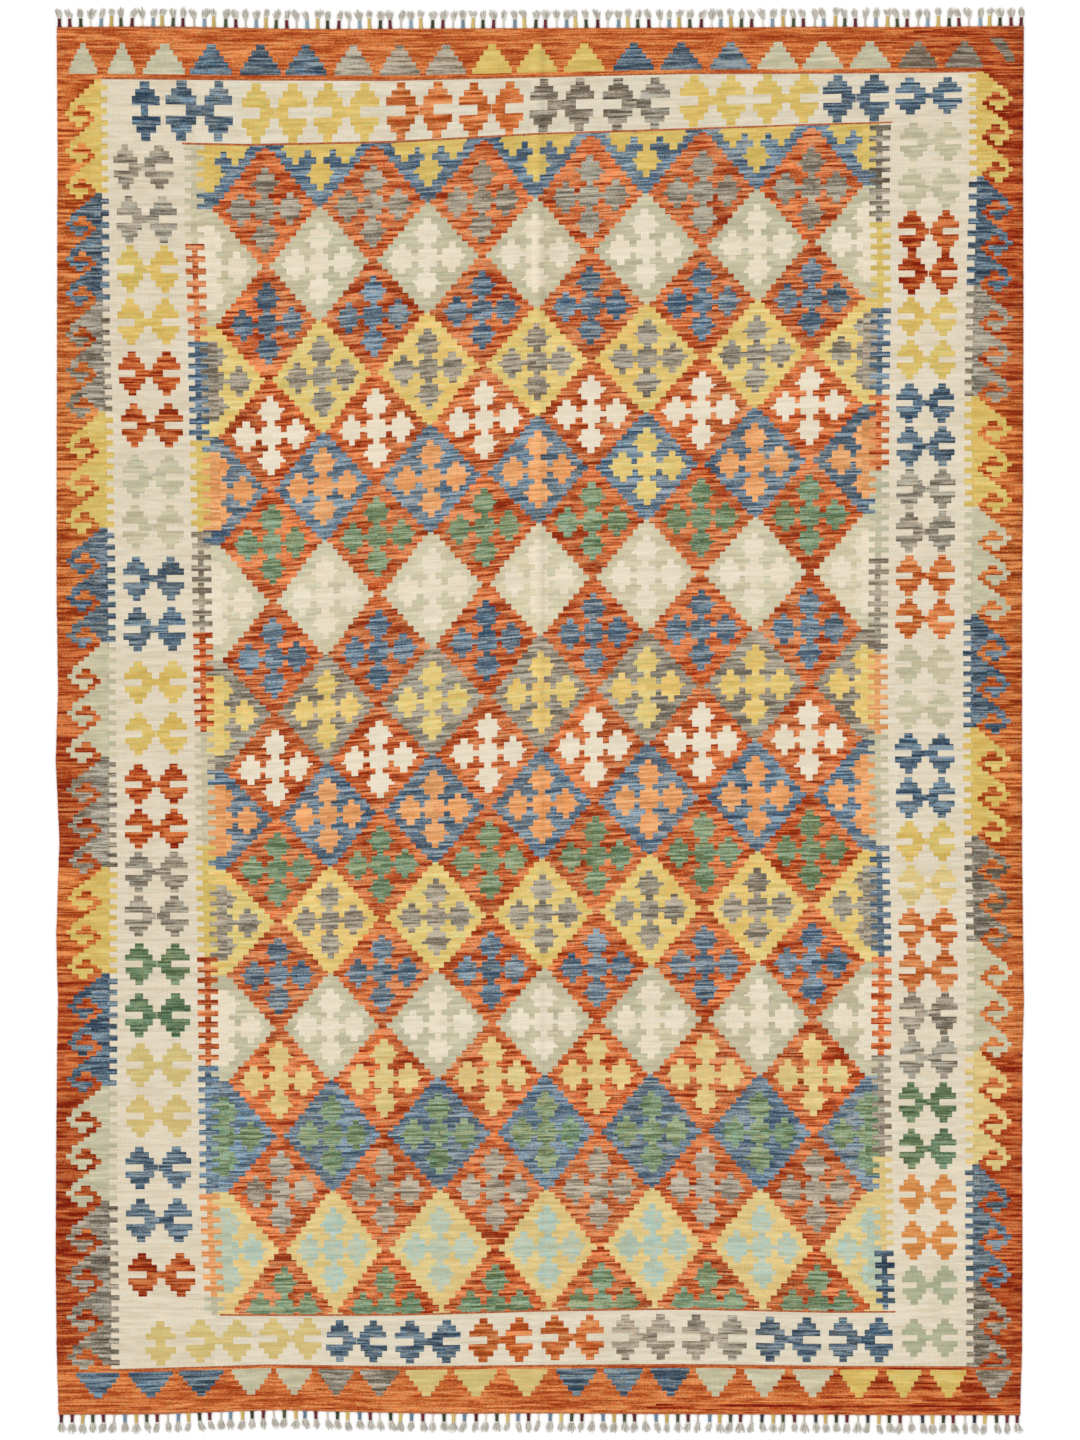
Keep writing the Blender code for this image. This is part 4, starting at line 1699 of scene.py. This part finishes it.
    def _neck(self, tassel: Tassel, yarn: TasselYarn) -> None:
        """Wrap one tassel's neck, or twist it where it stays bare.

        Args:
            tassel: the tassel.
            yarn: what it is wrapped in.
        """
        bare = self._is_bare(tassel.index)
        rings = []
        count = self.bare_rings if bare else self.wrapped_rings
        for i in range(count):
            share = i / (count - 1)
            center = tassel.at(1.5 * MM + (tassel.neck - 1.0 * MM) * share)
            flare = 1.0 + self.flare * math.exp(-6.0 * share)
            if bare:
                width = self.bare_neck_width * flare * (1.0 + self.twist * math.cos(1.1 * i))
                height = self.bare_neck_width * 0.9
            else:
                wrap = 1.0 + 0.10 * (1 if i % 2 else -1)
                width, height = self.neck_width * flare * wrap, self.neck_height * wrap
            rings.append(self._ring(center, width, height))
        self._tube(rings, yarn, [float(tassel.index)])

    def _knot(self, tassel: Tassel) -> None:
        """Tie the knot below the neck.

        Args:
            tassel: the tassel.
        """
        rings = []
        for share, size in self.knot_rings:
            center = tassel.at(tassel.neck - 0.8 * MM + (self.knot_length + 1.6 * MM) * share)
            rings.append(self._ring(center, self.knot_width * size, self.knot_height * size, 10))
        self._tube(rings, TasselYarn.COTTON, [tassel.index + 0.5])

    def _tuft(self, tassel: Tassel, rng: random.Random) -> None:
        """Fray the warp ends below the knot into a ragged brush of loose, curled strands.

        Args:
            tassel: the tassel.
            rng: how the strands differ.
        """
        start = tassel.neck + self.knot_length - 1.2 * MM
        length = tassel.length + tassel.depth - start
        tilt = rng.uniform(-self.tuft_tilt, self.tuft_tilt)
        # From a narrow brush to a wide fan, and from pointed to round-ended
        root, splay = 0.3 * self.knot_width, rng.uniform(*self.splay) * self.head_width / 2
        roundness = rng.uniform(0.0, 1.0) * self.tuft_roundness
        for strand in range(self.strands):
            fan = -1.0 + 2.0 * (strand + rng.uniform(0.0, 1.0)) / self.strands
            reach = length * rng.uniform(*self.strand_reach) * (1.0 - 0.25 * fan * fan)
            level = rng.uniform(*self.strand_level) * self.head_height
            thick = rng.uniform(*self.strand_width) * MM
            wave, phase = rng.uniform(*self.strand_wave) * MM, rng.uniform(0.0, math.tau)
            curl = rng.uniform(*self.strand_curl) * MM
            lot = tassel.index * 7.0 + strand * 1.3 + rng.uniform(0.0, 40.0)
            rings = []
            for i in range(self.strand_rings):
                share = i / (self.strand_rings - 1)
                x, y = tassel.at(start + reach * share)
                belly = share**0.7 * (1.0 - roundness * share * share)
                spread = fan * (root + (splay - root) * belly) + tilt * reach * share
                drift = curl * share * share + wave * math.sin(phase + 6.5 * share) * share
                size = thick * (1.1 - 0.5 * share)
                low = level * (1.0 - 0.45 * share) + 0.15 * MM
                rings.append(self._ring((x + spread + drift, y), size, size * 0.8, 4, low, phase))
            self._tube(rings, TasselYarn.COTTON, [lot])

    def build(self) -> Object:
        """Make the strip and every tassel.

        Returns:
            The fringe, as one mesh.
        """
        rng = random.Random(self.seed)
        places = self._places(rng)
        threads = random.Random(self.seed + 100)
        self._strip(places, threads)
        for index, (place, yarn) in enumerate(zip(places, self._yarns())):
            lean = rng.uniform(-self.lean, self.lean)
            length = FRINGE_LENGTH - rng.uniform(0.0, self.length_spread)
            end = float(self.weave.end_y(np.array([place]), self.side)[0])
            root = end + self.side * (STRIP_GAP + STRIP_WIDTH)
            neck = self.neck_length + (self.gold_extra if yarn is TasselYarn.GOLD else 0.0)
            tassel = Tassel(index, self.side, place, root, lean, length, neck)
            self._neck(tassel, yarn)
            self._knot(tassel)
            self._tuft(tassel, threads)
        yarns = [yarn.value for yarn in TasselYarn]
        return finished_mesh(self.name, self.verts, self.faces, self.slots, self.lots, yarns)


@dataclass
class Studio:
    """A pale floor under soft light, and a camera straight above the rug."""

    # The picture is 1080 by 1440 pixels, and one pixel is 2.127 mm on the cloth
    pixel: float = 2.1266 * MM
    picture_height: int = 1440
    camera_height: float = 14.0
    sensor: float = 36.0
    far_clip: float = 200.0
    floor_size: float = 60.0
    sky_strength: float = 0.62
    # Each light's name, its tilt towards x and y (degrees), its strength and its spread (degrees)
    lights: tuple[tuple[str, Place, float, float], ...] = (
        ("key_light", (-38, 30), 1.34, 22), ("fill_light", (40, -35), 0.66, 40),
    )

    def build(self) -> Object:
        """Set up the floor, the lights and the camera.

        Returns:
            The floor.
        """
        scene = bpy.context.scene
        scene.view_settings.view_transform = "Standard"
        world = bpy.data.worlds.new("studio_sky")
        world.use_nodes = True
        sky = world.node_tree.nodes["Background"]
        sky.inputs["Color"].default_value = (1.0, 1.0, 1.0, 1.0)
        sky.inputs["Strength"].default_value = self.sky_strength
        scene.world = world
        for light in self.lights:
            self._light(*light)
        camera = bpy.data.cameras.new("camera_above")
        camera.sensor_width = self.sensor
        rise = self.camera_height - CLOTH_THICKNESS
        camera.lens = self.sensor * rise / (self.picture_height * self.pixel)
        camera.clip_end = self.far_clip
        scene.camera = placed("camera_above", camera)
        scene.camera.location = (0.0, 0.0, self.camera_height)
        return self._floor()

    def _light(self, name: str, tilt: Place, power: float, spread: float) -> None:
        """Add one broad, distant light.

        Args:
            name: the light's name.
            tilt: how far it is tilted from straight above, towards x and y, in degrees.
            power: its strength.
            spread: how many degrees of the sky it fills.
        """
        sun = bpy.data.lights.new(name, "SUN")
        sun.energy = power
        sun.angle = math.radians(spread)
        placed(name, sun).rotation_euler = (math.radians(-tilt[1]), math.radians(tilt[0]), 0.0)

    def _floor(self) -> Object:
        """Lay the studio's pale floor.

        Returns:
            The floor.
        """
        mesh = bpy.data.meshes.new("studio_floor")
        half = self.floor_size / 2
        corners = [(-half, -half, 0), (half, -half, 0), (half, half, 0), (-half, half, 0)]
        mesh.from_pydata(corners, [], [(0, 1, 2, 3)])
        floor = placed("studio_floor", mesh)
        material = bpy.data.materials.new("painted_studio_floor")
        material.use_nodes = True
        tree = material.node_tree
        shader = tree.nodes["Principled BSDF"]
        mottle = add_node(tree, "TexNoise", {"Scale": 3.0, "Detail": 2.0})
        paint = {"Factor": mottle.outputs[0], "A": linear("#FBFBFA"), "B": linear("#FFFFFF")}
        shades = add_node(tree, "Mix", paint, data_type="RGBA")
        tree.links.new(shades.outputs["Result"], shader.inputs["Base Color"])
        shader.inputs["Roughness"].default_value = 0.9
        shader.inputs["Specular IOR Level"].default_value = 0.1
        mesh.materials.append(material)
        return floor


@dataclass
class RugPattern:
    """The whole rug's pattern. All places in its tables are measured from the middle, in centimetres."""

    weave: WeaveMap
    chart: Chart = field(default_factory=Chart)
    # Height of the rust ground under a twined line
    line_height: float = 4.8 * MM

    def draw(self) -> Chart:
        """Chart the whole rug, from the ground up.

        Returns:
            The finished chart.
        """
        self._grounds()
        DiamondField(self.chart, self.weave).draw()
        self._side_borders()
        self._end_bands()
        self._end_pairs()
        self._side_pairs()
        self._ladders()
        return self.chart

    def _grounds(self) -> None:
        """Lay the orange ground and the cream border round the field."""
        self.chart.block(Yarn.BORDER_ORANGE, Window())
        for left, right, bottom, top in (
            (CREAM_LEFT, FIELD_LEFT, LAST_LINE, FIRST_LINE),
            (FIELD_RIGHT, CREAM_RIGHT, LAST_LINE, FIRST_LINE),
            (FIELD_LEFT, FIELD_RIGHT, FIELD_TOP, FIRST_LINE),
            (FIELD_LEFT, FIELD_RIGHT, LAST_LINE, FIELD_BOTTOM),
        ):
            self.chart.block(Yarn.CREAM, Window(left, right, bottom, top))

    def _side_borders(self) -> None:
        """Lay the toothed blocks of both outer borders. Their ground was dyed in several lots."""
        sage, grey, dark = Yarn.SAGE, Yarn.GREY, Yarn.DARK_GREY
        blue, yellow, pale = Yarn.DEEP_BLUE, Yarn.YELLOW, Yarn.PALE_YELLOW
        light, bright, deep = Yarn.BORDER_ORANGE, Yarn.BAND_ORANGE, Yarn.BORDER_RED
        left = (
            (112.1, yellow, 3), (89.3, blue, 3), (65.6, dark, 3), (41.0, yellow, 3), (16.6, blue, 3),
            (-7.8, sage, 3), (-31.3, dark, 3), (-53.8, yellow, 3), (-77.8, blue, 3), (-102.2, sage, 3),
            (-137.2, dark, 4),
        )
        right = (
            (115.7, yellow, 3), (92.5, blue, 3), (68.9, grey, 3), (45.4, yellow, 3), (22.5, sage, 3),
            (-1.6, blue, 3), (-24.6, yellow, 3), (-47.1, dark, 3), (-70.4, sage, 3), (-94.5, pale, 3),
            (-119.4, blue, 3), (-137.8, dark, 2),
        )
        grounds = (*(light,) * 5, deep, deep, light, deep, deep, deep)
        OuterBorder(self.chart, self.weave, -1, 136.3, left, grounds).draw()
        grounds = (*(deep,) * 3, *(light,) * 5, bright, *(deep,) * 3)
        OuterBorder(self.chart, self.weave, 1, 138.4, right, grounds, inset=3.5).draw()

    def _end_bands(self) -> None:
        """Lay both end bands with their triangles, and the leaf in the first one's corner."""
        sage, warm, dark, brown = Yarn.SAGE, Yarn.WARM_GREY, Yarn.DARK_GREY, Yarn.BROWN_GREY
        blue, yellow, straw = Yarn.DEEP_BLUE, Yarn.YELLOW, Yarn.STRAW
        tips = (
            (-97.2, 34, sage), (-88.9, 34, sage), (-79.9, 40, sage), (-69.9, 43, blue),
            (-59.5, 43, blue), (-49.7, 42, blue), (-39.7, 40, warm), (-29.9, 42, warm),
            (-20.0, 42, warm), (-10.1, 42, yellow), (-0.6, 42, yellow), (9.4, 42, yellow),
            (19.9, 42, blue), (30.0, 42, blue), (40.5, 42, blue), (50.6, 42, sage), (60.1, 42, sage),
            (70.2, 42, sage), (80.4, 40, brown), (90.3, 40, brown),
        )
        leaf = ((95.2, 98.0), (95.8, 98.8), (96.5, 99.2), (97.3, 99.7), (98.0, 100.3), (98.4, 100.6))
        heights = mm(13, 13, 12.5, 12, 11.5)
        EndBand(self.chart, self.weave, 1, FIRST_LINE, 9 * MM, tips, heights, leaf=leaf).draw()
        tips = (
            (-94.0, 42, blue), (-82.8, 44, blue), (-72.0, 44, blue), (-61.4, 42, sage),
            (-52.3, 40, sage), (-43.4, 40, dark), (-34.2, 42, dark), (-24.2, 43, straw),
            (-13.6, 44, straw), (-2.8, 43, straw), (7.7, 43, blue), (17.8, 42, blue), (27.7, 42, blue),
            (37.3, 42, sage), (47.7, 42, sage), (58.0, 42, sage), (67.8, 40, yellow),
            (77.3, 40, yellow), (86.9, 40, yellow), (96.5, 40, dark),
        )
        heights = mm(11, 11, 11, 11, 10)
        band = EndBand(self.chart, self.weave, -1, LAST_LINE, 6 * MM, tips, heights, red_from=(0.20, 0.90))
        band.draw()

    def _end_pairs(self) -> None:
        """Lay the hooked motifs along both ends. Each run starts with half a motif."""
        grey, warm, dark, blue = Yarn.GREY, Yarn.WARM_GREY, Yarn.DARK_GREY, Yarn.DEEP_BLUE
        yellow, straw, terra = Yarn.YELLOW, Yarn.STRAW, Yarn.TERRACOTTA
        motifs = (
            (-72.2, 129.5, blue), (-56.5, 129.0, yellow), (-41.2, 129.2, yellow), (-25.7, 129.6, terra),
            (-10.3, 129.8, terra), (4.6, 130.8, dark), (20.5, 131.0, dark), (36.7, 131.7, yellow),
            (52.3, 132.1, yellow), (67.2, 132.2, blue),
        )
        heights = mm(15, 13, 18, 21, 17, 15, 16)
        pairs = HookedPairs(self.chart, self.weave, motifs, 38.5 * MM, mm(9.5, 20.5, 30), heights)
        pairs.draw()
        pairs.draw_single(-84.0, 129.5, blue, 7 * MM)
        motifs = (
            (-68.2, -132.0, straw), (-53.0, -131.6, straw), (-39.0, -132.1, blue),
            (-23.8, -132.2, blue), (-8.2, -131.8, terra), (6.9, -131.3, terra), (21.9, -131.2, warm),
            (37.0, -131.4, grey), (52.8, -131.7, blue), (68.3, -131.8, blue),
        )
        heights = mm(13, 15, 14, 17, 15, 14, 13)
        pairs = HookedPairs(self.chart, self.weave, motifs, 38 * MM, mm(9, 20, 30), heights)
        pairs.draw()
        pairs.draw_single(-80.7, -132.6, straw, 10 * MM)

    def _side_pairs(self) -> None:
        """Lay the hooked motifs along both sides, and the larger one in the corner."""
        brick, terra, apricot, sage = Yarn.BORDER_RED, Yarn.TERRACOTTA, Yarn.APRICOT, Yarn.SAGE
        mist, grey, blue, green = Yarn.GREEN_SAGE, Yarn.GREY, Yarn.DEEP_BLUE, Yarn.DEEP_GREEN
        yellow, straw, pale = Yarn.YELLOW, Yarn.STRAW, Yarn.PALE_YELLOW
        motifs = (
            (-84.8, 117.5, grey), (-83.9, 106.5, grey), (-83.6, 95.9, yellow), (-83.4, 84.6, yellow),
            (-83.2, 73.7, brick), (-82.8, 62.7, brick), (-82.5, 51.7, sage), (-82.4, 41.0, sage),
            (-82.2, 30.1, blue), (-82.0, 19.3, blue), (-81.8, 8.0, yellow), (-81.7, -2.9, yellow),
            (-81.7, -13.7, brick), (-81.6, -23.1, brick), (-81.6, -32.3, grey), (-81.6, -41.7, grey),
            (-81.5, -51.9, green), (-81.5, -62.8, green), (-81.3, -73.4, straw), (-81.2, -84.2, straw),
            (-81.2, -95.2, blue), (-80.9, -106.4, blue), (-80.5, -118.0, brick),
        )
        heights = mm(12, 13, 14, 15, 14, 13, 12)
        HookedPairs(self.chart, self.weave, motifs, 38 * MM, mm(9, 19.5, 29.5), heights).draw()
        heights = mm(12, 13, 14, 14, 14, 13, 12)
        corner = ((82.8, 132.8, blue),)
        HookedPairs(self.chart, self.weave, corner, 38 * MM, mm(9, 20, 30.5), heights).draw()
        motifs = (
            (83.2, 122.9, sage), (82.9, 113.1, sage), (82.8, 103.9, brick), (82.6, 94.9, brick),
            (82.4, 85.8, yellow), (82.2, 76.6, yellow), (82.0, 67.4, blue), (82.1, 58.2, blue),
            (82.1, 49.1, grey), (82.0, 40.0, grey), (82.0, 30.7, terra), (81.9, 21.5, terra),
            (81.8, 11.8, sage), (81.8, 2.2, sage), (81.9, -7.1, blue), (82.0, -16.5, blue),
            (82.1, -25.8, yellow), (82.4, -35.1, pale), (82.5, -44.3, terra), (82.6, -53.3, terra),
            (82.5, -62.4, grey), (82.5, -71.8, grey), (82.3, -81.3, green), (82.4, -91.2, green),
            (82.4, -100.9, apricot), (82.7, -110.7, apricot), (82.8, -120.2, mist),
            (82.8, -131.4, mist),
        )
        heights = mm(11, 12, 13, 13, 13, 12, 11)
        HookedPairs(self.chart, self.weave, motifs, 35 * MM, mm(8.5, 18.5, 27.5), heights).draw()

    def _ladders(self) -> None:
        """Lay the ladders beside the field, and the ground under the twined lines."""
        orange, red, sage, grey, dark = Yarn.LIGHT_ORANGE, Yarn.MADDER, Yarn.SAGE, Yarn.GREY, Yarn.DARK_GREY
        blue, yellow, pale, indigo = Yarn.DEEP_BLUE, Yarn.YELLOW, Yarn.PALE_YELLOW, Yarn.BLUE
        sections = (
            (101.3, sage), (80.5, red), (59.4, indigo), (40.0, yellow), (18.6, grey), (-2.5, red),
            (-26.7, sage), (-50.4, yellow), (-73.5, red), (-100.8, indigo), (-122.7, orange),
            (-126.6, sage),
        )
        Ladder(self.chart, self.weave, FIELD_LEFT, 122.3, sections).draw()
        sections = (
            (105.9, dark), (87.6, yellow), (69.1, indigo), (53.0, red), (34.4, sage), (14.0, grey),
            (-3.1, orange), (-26.7, sage), (-50.3, indigo), (-71.3, red), (-92.9, grey), (-112.8, pale),
            (-125.4, blue),
        )
        Ladder(self.chart, self.weave, FIELD_RIGHT, 126.5, sections).draw()
        half = self.line_height / 2
        for left, right, weft in TwinedLines.lines:
            self.chart.block(Yarn.RUST_LINE, Window(left, right, weft - half, weft + half))


def report(piece: Object) -> None:
    """Say in the log what was built."""
    triangles = sum(len(polygon.vertices) - 2 for polygon in piece.data.polygons)
    LOG.info("%s: %d triangles", piece.name, triangles)


def main() -> None:
    """Build the studio and the rug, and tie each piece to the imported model."""
    logging.basicConfig(level=logging.INFO, format="%(name)s: %(message)s")
    floor = Studio().build()
    weave = WeaveMap()
    maker = Cloth(weave)
    cloth = maker.build(RugPattern(weave).draw())
    lines = TwinedLines(weave, maker).build()
    maroon, green, gold = TasselYarn.MAROON, TasselYarn.GREEN, TasselYarn.GOLD
    light_blue, steel_blue, bare = TasselYarn.LIGHT_BLUE, TasselYarn.STEEL_BLUE, TasselYarn.COTTON
    first_runs = ((1, (maroon, maroon, green)), (19, (bare, light_blue, gold, green, maroon)))
    last_runs = (
        (1, (maroon, maroon, gold, green, maroon, bare)),
        (3, (steel_blue, gold, green, maroon, bare)),
        (5, (green, gold, steel_blue, maroon, bare)),
        (4, (steel_blue, gold, green, maroon, bare)),
        (5, (TasselYarn.NAVY, gold, green, maroon, bare)),
    )
    first = Fringe(weave, "tassels_first_end", 1, 94, 11, 3, first_runs).build()
    last = Fringe(
        weave, "tassels_last_end", -1, 91, 12, 0, last_runs, neck_length=18 * MM, gold_extra=2 * MM
    ).build()
    for piece, node, slot in (
        (cloth, "kilim_cloth", "dyed_wool_weave"),
        (lines, None, "dyed_wool_weave"),
        (first, "fringe_first_end", "cotton_warp_fringe"),
        (last, "fringe_last_end", "cotton_warp_fringe"),
    ):
        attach(piece, "root")
        if node is not None:
            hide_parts(node)
        report(piece)


if __name__ == "__main__":
    main()
